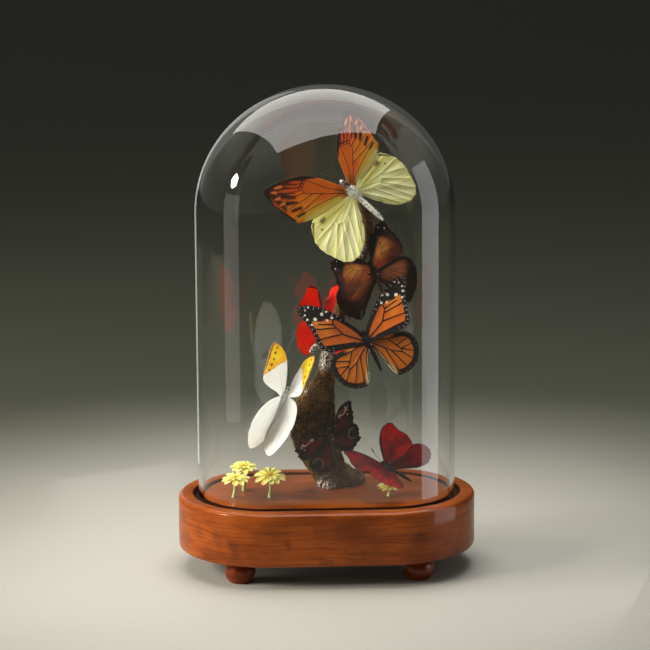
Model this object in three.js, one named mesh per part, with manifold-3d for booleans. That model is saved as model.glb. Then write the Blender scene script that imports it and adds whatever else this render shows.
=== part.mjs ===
// Butterflies on a driftwood branch under an oval glass dome.
// Millimetres, +Z up, origin on the floor under the centre of the plinth.
import * as THREE from 'three';
import { mergeVertices } from 'three/addons/utils/BufferGeometryUtils.js';
import Module from 'manifold-3d';

const wasm = await Module();
wasm.setup();

// ---- driving dimensions -------------------------------------------------------------------

const plinthLength = 208;
const plinthDepth = 127;
const plinthHeight = 38;
const footHeight = 16;
const footRadius = 10.8;
const footSpreadX = 62;
const footSpreadY = 38;
const rimWidth = 10;
const grooveWidth = 8;
const grooveDepth = 4;
const edgeRound = 3;

const domeHeight = 290;
const domeCrownHeight = 88;
const domeWall = 3;
const domeGap = 4;

const clearance = 0.3;
const wingThickness = 0.6;
const pinRadius = 0.45;

const halfStraight = (plinthLength - plinthDepth) / 2;
const plinthRadius = plinthDepth / 2;
const floorHeight = footHeight + plinthHeight;
const grooveOuter = plinthRadius - rimWidth;
const grooveInner = grooveOuter - grooveWidth;
const domeRadius = grooveOuter - domeGap;

// ---- shape helpers ------------------------------------------------------------------------

const vec = (point) => new THREE.Vector3(...point);

// An oval of two half circles joined by straight sides, seen from above.
function ovalRing(radius, straight, height, steps) {
  const ring = [];
  const half = steps / 2;
  for (const side of [1, -1]) {
    for (let i = 0; i <= half; i += 1) {
      const turn = (i / half - 0.5) * Math.PI;
      ring.push(new THREE.Vector3(
        side * (radius * Math.cos(turn) + straight),
        side * radius * Math.sin(turn),
        height,
      ));
    }
  }
  return ring;
}

function circle(sides) {
  return Array.from({ length: sides }, (unused, i) => {
    const turn = (i / sides) * 2 * Math.PI;
    return [Math.cos(turn), Math.sin(turn)];
  });
}

// A closed body through rings of equal count, ended by a fan at each end.
function loft(rings) {
  const count = rings[0].length;
  const points = rings.flat();
  const faces = [];
  for (let r = 0; r + 1 < rings.length; r += 1) {
    for (let i = 0; i < count; i += 1) {
      const a = r * count + i;
      const b = r * count + ((i + 1) % count);
      faces.push(a, b, b + count, a, b + count, a + count);
    }
  }
  const middle = (ring) => ring
    .reduce((sum, point) => sum.add(point), new THREE.Vector3())
    .divideScalar(count);
  const first = points.push(middle(rings[0])) - 1;
  const last = points.push(middle(rings[rings.length - 1])) - 1;
  const top = (rings.length - 1) * count;
  for (let i = 0; i < count; i += 1) {
    const next = (i + 1) % count;
    faces.push(first, next, i);
    faces.push(last, top + i, top + next);
  }
  const geometry = new THREE.BufferGeometry();
  geometry.setAttribute('position', new THREE.Float32BufferAttribute(points.flatMap((p) => p.toArray()), 3));
  geometry.setIndex(faces);
  return geometry;
}

// Rings of given radii along a path, for bodies, pins, legs, stems and bark.
function limb(path, radii, sides) {
  const curve = new THREE.CatmullRomCurve3(path.map(vec), false, 'centripetal');
  const rings = [];
  const steps = radii.length - 1;
  const frames = curve.computeFrenetFrames(steps, false);
  for (let s = 0; s <= steps; s += 1) {
    const centre = curve.getPointAt(s / steps);
    rings.push(circle(sides).map(([aside, up]) => centre.clone()
      .addScaledVector(frames.normals[s], radii[s] * aside)
      .addScaledVector(frames.binormals[s], radii[s] * up)));
  }
  return loft(rings);
}

function solidOf(geometry) {
  const shell = geometry.clone();
  shell.deleteAttribute('normal');
  shell.deleteAttribute('uv');
  const merged = mergeVertices(shell, 1e-4);
  return new wasm.Manifold(new wasm.Mesh({
    numProp: 3,
    vertProperties: new Float32Array(merged.attributes.position.array),
    triVerts: new Uint32Array(merged.index.array),
  }));
}

function geometryOf(solid) {
  const mesh = solid.getMesh();
  const geometry = new THREE.BufferGeometry();
  geometry.setAttribute('position', new THREE.Float32BufferAttribute(mesh.vertProperties, 3));
  geometry.setIndex(Array.from(mesh.triVerts));
  geometry.computeVertexNormals();
  return geometry;
}

function fuse(geometries) {
  return geometries.map(solidOf).reduce((whole, piece) => whole.add(piece));
}

const dome = new THREE.Group();

function addPiece(name, geometry, look) {
  if (!geometry.attributes.normal) {
    geometry.computeVertexNormals();
  }
  const mesh = new THREE.Mesh(geometry, new THREE.MeshStandardMaterial(look));
  mesh.name = name;
  dome.add(mesh);
  return mesh;
}

// ---- plinth, feet and glass ---------------------------------------------------------------

const walnut = { color: 0x8a4a1e, roughness: 0.3, metalness: 0 };

function plinth() {
  const steps = 36;
  const profile = [
    [plinthRadius - 2, footHeight],
    [plinthRadius, footHeight + 2],
    [plinthRadius, floorHeight - edgeRound],
    [plinthRadius - edgeRound * 0.3, floorHeight - edgeRound * 0.3],
    [plinthRadius - edgeRound, floorHeight],
    [grooveOuter, floorHeight],
    [grooveOuter, floorHeight - grooveDepth],
    [grooveInner, floorHeight - grooveDepth],
    [grooveInner, floorHeight],
  ];
  return loft(profile.map(([radius, height]) => ovalRing(radius, halfStraight, height, steps)));
}

function bunFoot() {
  const profile = [
    [0, 0],
    [0.62, 0],
    [0.86, 0.16],
    [1, 0.42],
    [0.93, 0.7],
    [0.7, 0.9],
    [0.7, 1],
    [0, 1],
  ];
  const tall = footHeight - clearance;
  const points = profile.map(([across, up]) => new THREE.Vector2(across * footRadius, up * tall));
  const foot = new THREE.LatheGeometry(points, 10);
  foot.rotateX(Math.PI / 2);
  return geometryOf(solidOf(foot));
}

function glassDome() {
  const steps = 32;
  const levels = 5;
  const foot = floorHeight - grooveDepth + clearance;
  const shoulder = foot + domeHeight - domeCrownHeight;
  const crown = (inset, tall) => {
    const rings = [];
    for (let k = 0; k < levels; k += 1) {
      const rise = (k / levels) * (Math.PI / 2);
      const shrink = Math.cos(rise);
      rings.push(ovalRing(
        (domeRadius - inset) * shrink,
        halfStraight * shrink,
        shoulder + tall * Math.sin(rise),
        steps,
      ));
    }
    rings.push(ovalRing(0.6, 0.5, shoulder + tall, steps));
    return rings;
  };
  const outside = [ovalRing(domeRadius, halfStraight, foot, steps), ...crown(0, domeCrownHeight)];
  const inside = [
    ovalRing(domeRadius - domeWall, halfStraight, foot, steps),
    ...crown(domeWall, domeCrownHeight - domeWall),
  ];
  return loft([...inside.reverse(), ...outside]);
}

addPiece('plinth', plinth(), walnut);
for (const [side, x] of [['left', -footSpreadX], ['right', footSpreadX]]) {
  for (const [end, y] of [['front', -footSpreadY], ['back', footSpreadY]]) {
    addPiece(`foot_${end}_${side}`, bunFoot(), walnut).position.set(x, y, 0);
  }
}
addPiece('glass_dome', glassDome(), {
  color: 0xdfe6dd,
  roughness: 0.03,
  metalness: 0,
  transparent: true,
  opacity: 0.25,
});

// ---- butterflies --------------------------------------------------------------------------

// Wing outlines lie flat: along is the way from root to tip, back is towards the tail.
// A wing's turn is its rotation in degrees, and its size a factor on the outline.
const outlines = {
  orangeFore: [[-2.5, -1.2], [9, -6.5], [20, -10.5], [31, -11], [41, -8], [49, -3.5], [53, 0], [50, 6],
    [43, 12.5], [36, 17.5], [29.5, 20.5], [24, 18.5], [15, 13], [7, 6.5], [-2.5, 1.5]],
  orangeHind: [[-2.5, -2], [6, -15], [13, -26], [19, -29.5], [27, -28], [34, -23], [38.5, -16], [42, -9],
    [42.5, -2], [39.5, 3.5], [32, 6.5], [24, 7.2], [14, 6], [5, 3.2], [-2.5, 1.5]],
  whiteFore: [[-2.5, -1.2], [8, -5], [17, -8], [26, -8.5], [35, -6.5], [42, -3], [45, 0], [43, 5],
    [37, 10], [31, 14], [25, 17.5], [20.5, 16.5], [13, 12], [6, 6.5], [-2.5, 1.5]],
  whiteHind: [[-2.5, -2], [6, -11], [12, -17.5], [18, -20.5], [25, -20], [31, -17], [35, -12], [38, -6],
    [38.5, 0], [36, 6], [30, 10], [23, 10.5], [14, 8], [6, 4.5], [-2.5, 2]],
  monarchFore: [[-2.5, -2], [14, -6.5], [25, -7.8], [34, -7.4], [41, -5.8], [46, -3], [48.5, 0.5], [46, 3.8],
    [41, 6.5], [36, 9], [31.5, 12.8], [27, 16.5], [22.5, 19.5], [19.5, 20], [14, 17.5], [6, 10.5], [-2.5, 3]],
  monarchHind: [[-2.5, -2], [5, -6], [15, -14], [20, -16.3], [25, -16], [29.5, -13.5], [32.5, -9.5], [35, 0],
    [34.2, 4.8], [32.5, 8.5], [29.5, 12.3], [26, 15], [21.5, 14.5], [16, 11.5], [5, 5.5], [-2.5, 3]],
  leafFore: [[-2.5, -1.5], [7, -7], [15, -9.5], [24, -8.5], [30, -5], [33, -2], [34, 1], [32.5, 4],
    [31, 7], [30, 12], [28, 17], [25, 21.5], [21, 23.5], [15, 20], [8, 12], [-2.5, 3]],
  leafHind: [[-2.5, -2], [6, -9], [13, -14], [20, -15.5], [26.5, -13], [30.5, -8], [32.5, -2], [33, 4],
    [31.5, 9.5], [30, 14], [26.5, 14.5], [20, 11.5], [12, 8], [5, 5], [-2.5, 3]],
  peacockFore: [[-2.5, -1.5], [6, -5], [13, -7.5], [20, -7.5], [25, -5], [28.5, -2], [29.5, 0.5], [28, 3],
    [26.5, 5], [26.8, 8], [25, 11], [23.5, 14], [20, 17], [15, 15.5], [9, 11], [4, 6], [-2.5, 2.5]],
  peacockHind: [[-2.5, -2], [5, -7], [11, -10.5], [17, -11.5], [21, -9], [23, -5], [24, -1], [26.5, 1.5],
    [24, 4], [22, 8], [18, 11], [12.5, 10.5], [7, 8], [3, 5], [-2.5, 2.5]],
  redFore: [[-2.5, -1.5], [7, -6.5], [15, -9], [23, -8.5], [29, -5.5], [32, -2], [32.5, 1.5], [30.5, 5],
    [29, 9], [28.5, 13], [26, 17], [22, 19.5], [16, 17], [9, 11], [4, 6], [-2.5, 2.5]],
  redHind: [[-2.5, -2], [6, -8], [12, -13], [19, -15.5], [25, -14], [29, -9.5], [31, -4], [31, 2],
    [29, 8], [25, 12], [19, 12.5], [12, 9.5], [6, 6.5], [-2.5, 3]],
};

const butterflies = {
  orange_tip: {
    wings: 'orange', at: [19, -7, 266.5], tail: [0.73, -0.17, -0.66], back: [-0.01, -0.97, 0.24],
    roots: [3, 3, 3], headReach: 10, tailReach: 27, girth: 1.15, antenna: 16, pinTo: [25, 2.5, 258.5],
    foreRight: { turn: [80, 24, 91], size: 1 },
    foreLeft: { turn: [108, 9, 175], size: 1.09 },
    hindRight: { turn: [66, 13, 0], size: 0.97 },
    hindLeft: { turn: [71, -17, -91], size: 1.01 },
    color: 0xe0b060,
  },
  leafwing: {
    wings: 'leaf', at: [33.5, -3.6, 210.2], tail: [0.38, -0.21, -0.9], back: [0.32, -0.88, 0.34],
    roots: [2, 3, 3], headReach: 9, tailReach: 16, girth: 1, antenna: 14, pinTo: [24.5, 8, 213],
    foreRight: { turn: [73, 40, 73], size: 1.03 },
    foreLeft: { turn: [59, 31, -176], size: 0.96 },
    hindRight: { turn: [86, 29, -12], size: 1.05 },
    hindLeft: { turn: [102, 17, -131], size: 1 },
    color: 0x5a3420,
  },
  monarch: {
    wings: 'monarch', at: [28, -16, 164], tail: [0.42, -0.3, -0.86], back: [0.14, -0.91, 0.39],
    roots: [2.5, 2.5, 2], headReach: 8.5, tailReach: 22, girth: 1, antenna: 14, pinTo: [10, 5.5, 174],
    foreRight: { turn: [63, -18, 59], size: 1.01 },
    foreLeft: { turn: [56, 14, 155], size: 1.04 },
    hindRight: { turn: [67, 6, -20], size: 0.97 },
    hindLeft: { turn: [58, 16, -119], size: 0.97 },
    color: 0xb06a18,
  },
  red_glider_high: {
    wings: 'red', at: [-1.4, 32, 168.6], tail: [-0.08, -0.1, -0.99], back: [0.01, -0.99, 0.1],
    roots: [1.5, 2, 2], headReach: 7, tailReach: 14, girth: 0.85, antenna: 12, pinTo: [6.5, 7, 167],
    foreRight: { turn: [69, -58, 47], size: 0.92 },
    foreLeft: { turn: [99, 52, 115], size: 0.92 },
    hindRight: { turn: [89, -55, -28], size: 0.91 },
    hindLeft: { turn: [84, 53, -149], size: 0.91 },
    color: 0xd02018,
  },
  yellow_tip: {
    wings: 'white', at: [-30, -7, 122.5], tail: [-0.38, -0.07, -0.92], back: [-0.05, -0.99, 0.1],
    roots: [1.5, 3, 2.5], headReach: 9, tailReach: 25, girth: 1, antenna: 14, pinTo: [-9, 5, 117],
    foreRight: { turn: [27, -69, -10], size: 1.01 },
    foreLeft: { turn: [109, 49, 98], size: 0.98 },
    hindRight: { turn: [30, -58, -117], size: 0.93 },
    hindLeft: { turn: [130, 51, -152], size: 0.96 },
    color: 0xf4f2e4,
  },
  peacock: {
    wings: 'peacock', at: [2, -19, 96], tail: [0.19, -0.11, -0.98], back: [0.48, -0.85, 0.19],
    roots: [1.5, 2, 2], headReach: 7.5, tailReach: 14, girth: 0.9, antenna: 13, pinTo: [-7, 4, 93],
    foreRight: { turn: [99, 52, 36], size: 1.03 },
    foreLeft: { turn: [121, 30, -179], size: 0.92 },
    hindRight: { turn: [106, 31, -10], size: 0.97 },
    hindLeft: { turn: [100, 27, -107], size: 0.98 },
    color: 0x4a1418,
  },
  red_glider_low: {
    wings: 'red', at: [43, -14, 73.5], tail: [0.84, -0.24, -0.48], back: [0.21, -0.68, 0.7],
    roots: [2, 2, 2], headReach: 7, tailReach: 18, girth: 0.9, antenna: 12, pinTo: [42.2, -17.4, 61],
    foreRight: { turn: [101, -41, 88], size: 0.97 },
    foreLeft: { turn: [13, 27, -179], size: 0.98 },
    hindRight: { turn: [123, 10, 19], size: 0.91 },
    hindLeft: { turn: [6, 24, -98], size: 0.93 },
    color: 0x8a1012,
  },
};

const bodySides = 6;
const degrees = (list) => list.map((value) => THREE.MathUtils.degToRad(value));

function wing(outline, side, root, { turn, size }) {
  const steps = 17;
  const curve = new THREE.CatmullRomCurve3(
    outline.map(([along, back]) => new THREE.Vector3(along, -side * back, 0)),
    true,
    'centripetal',
  );
  const place = new THREE.Matrix4().compose(
    root,
    new THREE.Quaternion().setFromEuler(new THREE.Euler(...degrees(turn))),
    new THREE.Vector3(size, size, 1),
  );
  const rim = curve.getSpacedPoints(steps).slice(0, steps);
  if (side > 0) {
    rim.reverse();
  }
  const ringAt = (height) => rim.map((point) => (
    new THREE.Vector3(point.x, point.y, height).applyMatrix4(place)));
  return loft([ringAt(-wingThickness / 2), ringAt(wingThickness / 2)]);
}

function butterfly(shape) {
  const at = vec(shape.at);
  const tail = vec(shape.tail).normalize();
  const back = vec(shape.back);
  back.addScaledVector(tail, -back.dot(tail)).normalize();
  const right = new THREE.Vector3().crossVectors(back, tail);
  const spot = (across, down, up) => at.clone()
    .addScaledVector(right, across)
    .addScaledVector(tail, down)
    .addScaledVector(back, up)
    .toArray();
  const [rootAside, rootAhead, rootBehind] = shape.roots;
  const fore = outlines[`${shape.wings}Fore`];
  const hind = outlines[`${shape.wings}Hind`];
  const pieces = [
    wing(fore, 1, vec(spot(rootAside, -rootAhead, 0)), shape.foreRight),
    wing(fore, -1, vec(spot(-rootAside, -rootAhead, 0)), shape.foreLeft),
    wing(hind, 1, vec(spot(rootAside, rootBehind, 0)), shape.hindRight),
    wing(hind, -1, vec(spot(-rootAside, rootBehind, 0)), shape.hindLeft),
  ];

  // head, neck, thorax, waist and abdomen along one axis
  const nose = -shape.headReach;
  const end = shape.tailReach;
  const stations = [[nose, 0.4], [nose * 0.85, 1.4], [nose * 0.62, 1.5], [nose * 0.5, 1.1], [nose * 0.35, 2.2],
    [0, 2.8], [3.2, 2.5], [5, 1.6], [end * 0.5, 1.9], [end * 0.8, 1.4], [end, 0.4]];
  pieces.push(loft(stations.map(([down, girth]) => {
    const wide = girth * shape.girth;
    return circle(bodySides).map(([aside, up]) => vec(spot(aside * wide, down, up * wide)));
  })));

  for (const side of [-1, 1]) {
    // an antenna with its club
    pieces.push(limb(
      [
        spot(side * 0.4, nose + 1, 0.4),
        spot(side * shape.antenna * 0.2, nose - shape.antenna * 0.5, 1.5),
        spot(side * shape.antenna * 0.42, nose - shape.antenna * 0.9, 1.8),
      ],
      [0.35, 0.3, 0.3, 0.6],
      3,
    ));
    // walking legs tucked under the thorax
    for (const along of [-1.2, 1.6]) {
      pieces.push(limb(
        [spot(side * 0.6, along, -1), spot(side * 4.5, along * 2.4, -4), spot(side * 4, along * 3.2, -8)],
        [0.5, 0.35, 0.3],
        3,
      ));
    }
  }

  // the pin runs through the thorax into what holds the butterfly
  const tip = vec(shape.pinTo);
  const top = at.clone().add(at.clone().sub(tip).setLength(4 * shape.girth));
  pieces.push(limb([top.toArray(), shape.pinTo], [pinRadius, pinRadius], 5));
  return fuse(pieces);
}

// ---- branch -------------------------------------------------------------------------------

const boughPath = [
  [5, 17, floorHeight + clearance], [-1, 14, 63], [-6.5, 11, 77], [-10, 8, 99], [-6, 6, 118],
  [-1, 5, 131], [0.5, 5, 142], [1.5, 6, 152], [6, 7, 167.5], [12, 8, 185], [18, 9, 202.5],
  [25, 9, 219], [30, 7, 236.5], [29, 5, 251], [25.6, 3, 259],
];
const boughRadii = [15, 13.2, 13, 13.5, 14.3, 14.4, 13, 10.5, 6.5, 4.6, 4.2, 4, 4.1, 4.3, 4.3,
  4.2, 4, 3.9, 3.8, 3.6, 3.5, 3.4, 3.3, 3.2, 2.8];

// Bark swells and hollows around a limb as it grows.
function barkLimb(path, radii, sides, roughness) {
  const geometry = limb(path, radii, sides);
  const position = geometry.attributes.position;
  const pointAt = (index) => new THREE.Vector3().fromBufferAttribute(position, index);
  for (let ring = 1; ring < radii.length - 1; ring += 1) {
    const opposite = sides / 2;
    const centre = pointAt(ring * sides).add(pointAt(ring * sides + opposite)).divideScalar(2);
    for (let i = 0; i < sides; i += 1) {
      const turn = (i / sides) * 2 * Math.PI;
      const swell = roughness * Math.sin(2 * turn + ring * 0.8) * Math.cos(3 * turn - ring * 1.3);
      const point = pointAt(ring * sides + i);
      point.addScaledVector(point.clone().sub(centre).setZ(0), swell);
      position.setXYZ(ring * sides + i, ...point.toArray());
    }
  }
  return geometry;
}

function branch() {
  const floorFace = floorHeight + clearance;
  const lumps = [
    [[17, 15, floorFace], [15, 15, 61], [12, 15, 67], [7.5, 6.5, 4]],
    [[23, 19, floorFace], [21, 19, 58], [18, 18, 62], [6, 5, 3]],
    [[-4, 10, floorFace], [-4, 11, 60], [-4, 12, 66], [7, 6.5, 5]],
  ];
  const pieces = [barkLimb(boughPath, boughRadii, 8, 0.16)];
  for (const [low, mid, high, radii] of lumps) {
    pieces.push(limb([low, mid, high], radii, 6));
  }
  const slab = new THREE.BoxGeometry(80, 80, 60);
  slab.translate(0, 0, floorFace - 30);
  return fuse(pieces).subtract(solidOf(slab));
}

function twig() {
  return limb([[-4.2, 4.8, 156], [-7.4, 3.6, 156.6], [-10.4, 3, 152.6]], [1.7, 2, 1.8, 1.1], 7);
}

// ---- flowers ------------------------------------------------------------------------------

const flowers = [
  { foot: [-65.4, -14.5], head: [-64.2, -14.8, 67], radius: 10.6, lean: 9 },
  { foot: [-58.2, 1.5], head: [-58.4, 5, 70.4], radius: 10.2, lean: 9 },
  { foot: [-40.3, -16.2], head: [-40.2, -16.4, 69], radius: 11.5, lean: 24 },
  { foot: [42.3, -18.6], head: [42.2, -18, 60.4], radius: 8.5, lean: 6 },
];

// Petals are lobes of one thin disc, which droops towards its rim round a domed heart.
function flowerHead({ head, radius, lean }) {
  const petals = 9;
  const lobe = [[0, 0.55], [0.28, 0.97], [0.72, 0.97]];
  const rim = [];
  for (let petal = 0; petal < petals; petal += 1) {
    const long = radius * (petal % 3 ? 1 : 0.9);
    for (const [across, reach] of lobe) {
      rim.push([((petal + across) / petals) * 2 * Math.PI, long * reach]);
    }
  }
  const ringOf = (outline, height) => outline.map(([turn, reach]) => (
    new THREE.Vector3(reach * Math.cos(turn), reach * Math.sin(turn), height - 0.012 * reach * reach)));
  const round = (reach) => rim.map(([turn]) => [turn, reach]);
  const disc = loft([
    ringOf(round(3), -0.9),
    ringOf(rim, -0.4),
    ringOf(rim, 0.4),
    ringOf(round(3.2), 0.7),
    ringOf(round(2), 1.9),
  ]);
  const place = new THREE.Matrix4()
    .makeTranslation(...head)
    .multiply(new THREE.Matrix4().makeRotationX(THREE.MathUtils.degToRad(lean)));
  return solidOf(disc.applyMatrix4(place));
}

function flowerStem({ foot, head }) {
  const low = floorHeight + clearance;
  const high = head[2] - 1.9;
  const middle = [(foot[0] + head[0]) / 2 + 0.6, (foot[1] + head[1]) / 2, (low + high) / 2];
  const stem = limb([[...foot, low], middle, [head[0], head[1], high]], [1.6, 1.2, 1], 6);
  const position = stem.attributes.position;
  for (let i = 0; i < position.count; i += 1) {
    position.setZ(i, Math.max(position.getZ(i), low));
  }
  return stem;
}

// ---- put together -------------------------------------------------------------------------

// A pin hole runs wide of the pin by the clearance.
function pinHole(shape) {
  const tip = vec(shape.pinTo);
  const beyond = tip.clone().add(tip.clone().sub(vec(shape.at)).setLength(clearance));
  const sides = 6;
  const wide = (pinRadius + clearance) / Math.cos(Math.PI / sides);
  return solidOf(limb([shape.at, beyond.toArray()], [wide, wide], sides));
}

let branchSolid = branch();
const flowerSolids = flowers.map(flowerHead);
for (const [name, shape] of Object.entries(butterflies)) {
  if (name === 'red_glider_low') {
    flowerSolids[3] = flowerSolids[3].subtract(pinHole(shape));
  } else {
    branchSolid = branchSolid.subtract(pinHole(shape));
  }
  addPiece(name, geometryOf(butterfly(shape)), { color: shape.color, roughness: 0.8, metalness: 0 });
}
addPiece('branch', geometryOf(branchSolid), { color: 0x5c4634, roughness: 0.95, metalness: 0 });
addPiece('branch_twig', twig(), { color: 0xcbbfa8, roughness: 0.95, metalness: 0 });
for (const [number, shape] of flowers.entries()) {
  const label = number + 1;
  addPiece(`flower_head_${label}`, geometryOf(flowerSolids[number]), {
    color: 0xeee06a,
    roughness: 0.8,
    metalness: 0,
  });
  addPiece(`flower_stem_${label}`, flowerStem(shape), { color: 0x8f9f2c, roughness: 0.8, metalness: 0 });
}

export default dome;
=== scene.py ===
import math
import random
from collections import Counter

import bpy
import numpy as np
from mathutils import Euler, Matrix, Vector, noise
from mathutils.geometry import delaunay_2d_cdt


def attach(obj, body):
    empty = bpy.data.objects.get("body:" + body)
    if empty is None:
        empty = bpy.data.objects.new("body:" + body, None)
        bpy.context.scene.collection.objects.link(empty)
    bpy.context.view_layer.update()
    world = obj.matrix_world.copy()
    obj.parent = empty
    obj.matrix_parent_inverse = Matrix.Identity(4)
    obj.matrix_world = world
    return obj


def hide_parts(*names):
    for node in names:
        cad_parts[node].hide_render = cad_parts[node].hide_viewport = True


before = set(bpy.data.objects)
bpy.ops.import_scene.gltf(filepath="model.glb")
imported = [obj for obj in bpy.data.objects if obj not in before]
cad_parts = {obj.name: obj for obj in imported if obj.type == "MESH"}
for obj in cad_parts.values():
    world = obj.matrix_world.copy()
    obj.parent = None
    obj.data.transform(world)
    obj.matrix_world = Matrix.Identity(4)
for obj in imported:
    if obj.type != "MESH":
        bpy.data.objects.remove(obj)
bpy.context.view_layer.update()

mm = 0.001               # shapes are worked out in millimetres
print("frame loaded")


# ---- small helpers for meshes

def addObject(name, data):
    made = bpy.data.objects.new(name, data)
    bpy.context.scene.collection.objects.link(made)
    return made


def keepValues(mesh, name, values):
    # a number or a vector for each point, for the materials to read
    kind, field = ("FLOAT", "value") if np.ndim(values) == 1 else ("FLOAT_VECTOR", "vector")
    mesh.attributes.new(name, kind, "POINT").data.foreach_set(field, np.array(values, np.float32).ravel())


class Shape:
    # points and faces gathered for one mesh, with a material number for each face
    def __init__(self):
        self.points, self.faces, self.slots = [], [], []

    def add(self, points, faces, slot=0):
        start = len(self.points)
        self.points.extend(tuple(point) for point in points)
        self.faces.extend(tuple(start + i for i in face) for face in faces)
        self.slots.extend([slot] * len(faces))

    def make(self, name, materials, sharpAngle=50):
        mesh = bpy.data.meshes.new(name)
        mesh.from_pydata([(x * mm, y * mm, z * mm) for x, y, z in self.points], [], self.faces)
        for material in materials:
            mesh.materials.append(material)
        mesh.polygons.foreach_set("material_index", self.slots)
        mesh.polygons.foreach_set("use_smooth", [True] * len(mesh.polygons))
        mesh.update()
        mesh.set_sharp_from_angle(angle=math.radians(sharpAngle))
        return addObject(name, mesh)


def skin(rings):
    # quads between rings of equal count, with a fan on each end
    count = len(rings[0])
    points = [point for ring in rings for point in ring]
    faces = []
    for r in range(len(rings) - 1):
        for i in range(count):
            a, b = r * count + i, r * count + (i + 1) % count
            faces.append((a, b, b + count, a + count))
    first, last = len(points), len(points) + 1
    points.append(sum((Vector(p) for p in rings[0]), Vector()) / count)
    points.append(sum((Vector(p) for p in rings[-1]), Vector()) / count)
    top = (len(rings) - 1) * count
    for i in range(count):
        faces.append((first, (i + 1) % count, i))
        faces.append((last, top + i, top + (i + 1) % count))
    return points, faces


fineSteps = 24           # short stretches worked out between two points of a path


def curvePoints(path, count, closed=False):
    # evenly spaced points along a smooth curve through the path
    path = [Vector(point) for point in path]
    total = len(path)
    spans = total if closed else total - 1
    dense = []
    for s in range(spans):
        p1, p2 = path[s % total], path[(s + 1) % total]
        p0 = path[(s - 1) % total] if closed or s > 0 else p1 * 2 - p2
        p3 = path[(s + 2) % total] if closed or s + 2 < total else p2 * 2 - p1
        t0, t1, t2 = ((b - a).length ** 0.5 for a, b in ((p0, p1), (p1, p2), (p2, p3)))
        m1 = (p2 - p1) + t1 * ((p1 - p0) / t0 - (p2 - p0) / (t0 + t1))
        m2 = (p2 - p1) + t1 * ((p3 - p2) / t2 - (p3 - p1) / (t1 + t2))
        for t in (k / fineSteps for k in range(fineSteps)):
            dense.append(p1 * (2 * t**3 - 3 * t**2 + 1) + m1 * (t**3 - 2 * t**2 + t)
                         + p2 * (3 * t**2 - 2 * t**3) + m2 * (t**3 - t**2))
    dense.append(path[0] if closed else path[-1])
    dense = np.array(dense)
    reach = np.concatenate([[0], np.cumsum(np.linalg.norm(np.diff(dense, axis=0), axis=1))])
    stops = np.linspace(0, reach[-1], count + 1)[:-1] if closed else np.linspace(0, reach[-1], count)
    return [Vector([np.interp(stop, reach, dense[:, k]) for k in range(3)]) for stop in stops]


def tube(path, radii, sides, steps):
    # a round limb along a smooth path, its radii spread evenly
    centres = curvePoints(path, steps)
    along = (centres[1] - centres[0]).normalized()
    aside = along.orthogonal().normalized()
    rings = []
    for s, centre in enumerate(centres):
        ahead = (centres[min(s + 1, steps - 1)] - centres[max(s - 1, 0)]).normalized()
        aside = (aside - ahead * aside.dot(ahead)).normalized()
        up = ahead.cross(aside)
        radius = float(np.interp(s / (steps - 1), np.linspace(0, 1, len(radii)), radii))
        rings.append([centre + radius * (aside * math.cos(turn) + up * math.sin(turn))
                      for turn in turns(sides)])
    return skin(rings)


def turns(count, whole=2 * math.pi):
    # evenly spaced angles, from nothing up to but without the whole
    return [whole * i / count for i in range(count)]


def lathe(profile, sides):
    # rings of (radius, height) round the Z axis
    return skin([[(r * math.cos(turn), r * math.sin(turn), z) for turn in turns(sides)] for r, z in profile])


def ball(centre, size, sides=10):
    levels = [math.pi * (k + 0.5) / (sides / 2) for k in range(sides // 2)]
    points, faces = lathe([(math.sin(level), -math.cos(level)) for level in levels], sides)
    return [Vector(centre) + Vector([p[k] * size[k] for k in range(3)]) for p in map(Vector, points)], faces


def threeRound(centre, wide, high):
    # the three corners of a thin hair or fibre
    return [centre + wide, centre - wide * 0.5 + high * 0.87, centre - wide * 0.5 - high * 0.87]


# ---- small helpers for materials

def hue(red, green, blue):
    # a colour as a screen shows it, 0 to 255, turned to light
    light = [((c / 255 + 0.055) / 1.055) ** 2.4 if c > 10 else c / 3294 for c in (red, green, blue)]
    return (*light, 1.0)


def node(tree, kind, inputs=None, **settings):
    made = tree.nodes.new(kind)
    for key, value in settings.items():
        setattr(made, key, value)
    for key, value in (inputs or {}).items():
        if isinstance(value, bpy.types.NodeSocket):
            tree.links.new(value, made.inputs[key])
        else:
            made.inputs[key].default_value = value
    return made


def sums(tree, operation, *values, clamp=False):
    made = node(tree, "ShaderNodeMath", dict(enumerate(values)), operation=operation, use_clamp=clamp)
    return made.outputs[0]


def vectors(tree, operation, *values, out=0):
    return node(tree, "ShaderNodeVectorMath", dict(enumerate(values)), operation=operation).outputs[out]


def scaled(tree, vector, size):
    return node(tree, "ShaderNodeVectorMath", {0: vector, 3: size}, operation="SCALE").outputs[0]


def blendColour(tree, factor, a, b, how="MIX"):
    made = node(tree, "ShaderNodeMix", {0: factor, 6: a, 7: b}, data_type="RGBA", blend_type=how)
    return made.outputs[2]


def span(tree, value, low, high, toLow=0.0, toHigh=1.0, smooth=True):
    kind = "SMOOTHSTEP" if smooth else "LINEAR"
    inputs = dict(enumerate((value, low, high, toLow, toHigh)))
    return node(tree, "ShaderNodeMapRange", inputs, interpolation_type=kind).outputs[0]


def speckle(tree, place, scale, detail=3.0, rough=0.55, stretch=None):
    if stretch:
        place = vectors(tree, "MULTIPLY", place, stretch)
    inputs = {"Vector": place, "Scale": scale, "Detail": detail, "Roughness": rough}
    return node(tree, "ShaderNodeTexNoise", inputs).outputs[0]


def parted(tree, vector):
    return node(tree, "ShaderNodeSeparateXYZ", {0: vector}).outputs


def joined(tree, *values):
    return node(tree, "ShaderNodeCombineXYZ", dict(enumerate(values))).outputs[0]


def stored(tree, name, out="Vector"):
    return node(tree, "ShaderNodeAttribute", attribute_name=name).outputs[out]


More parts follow.
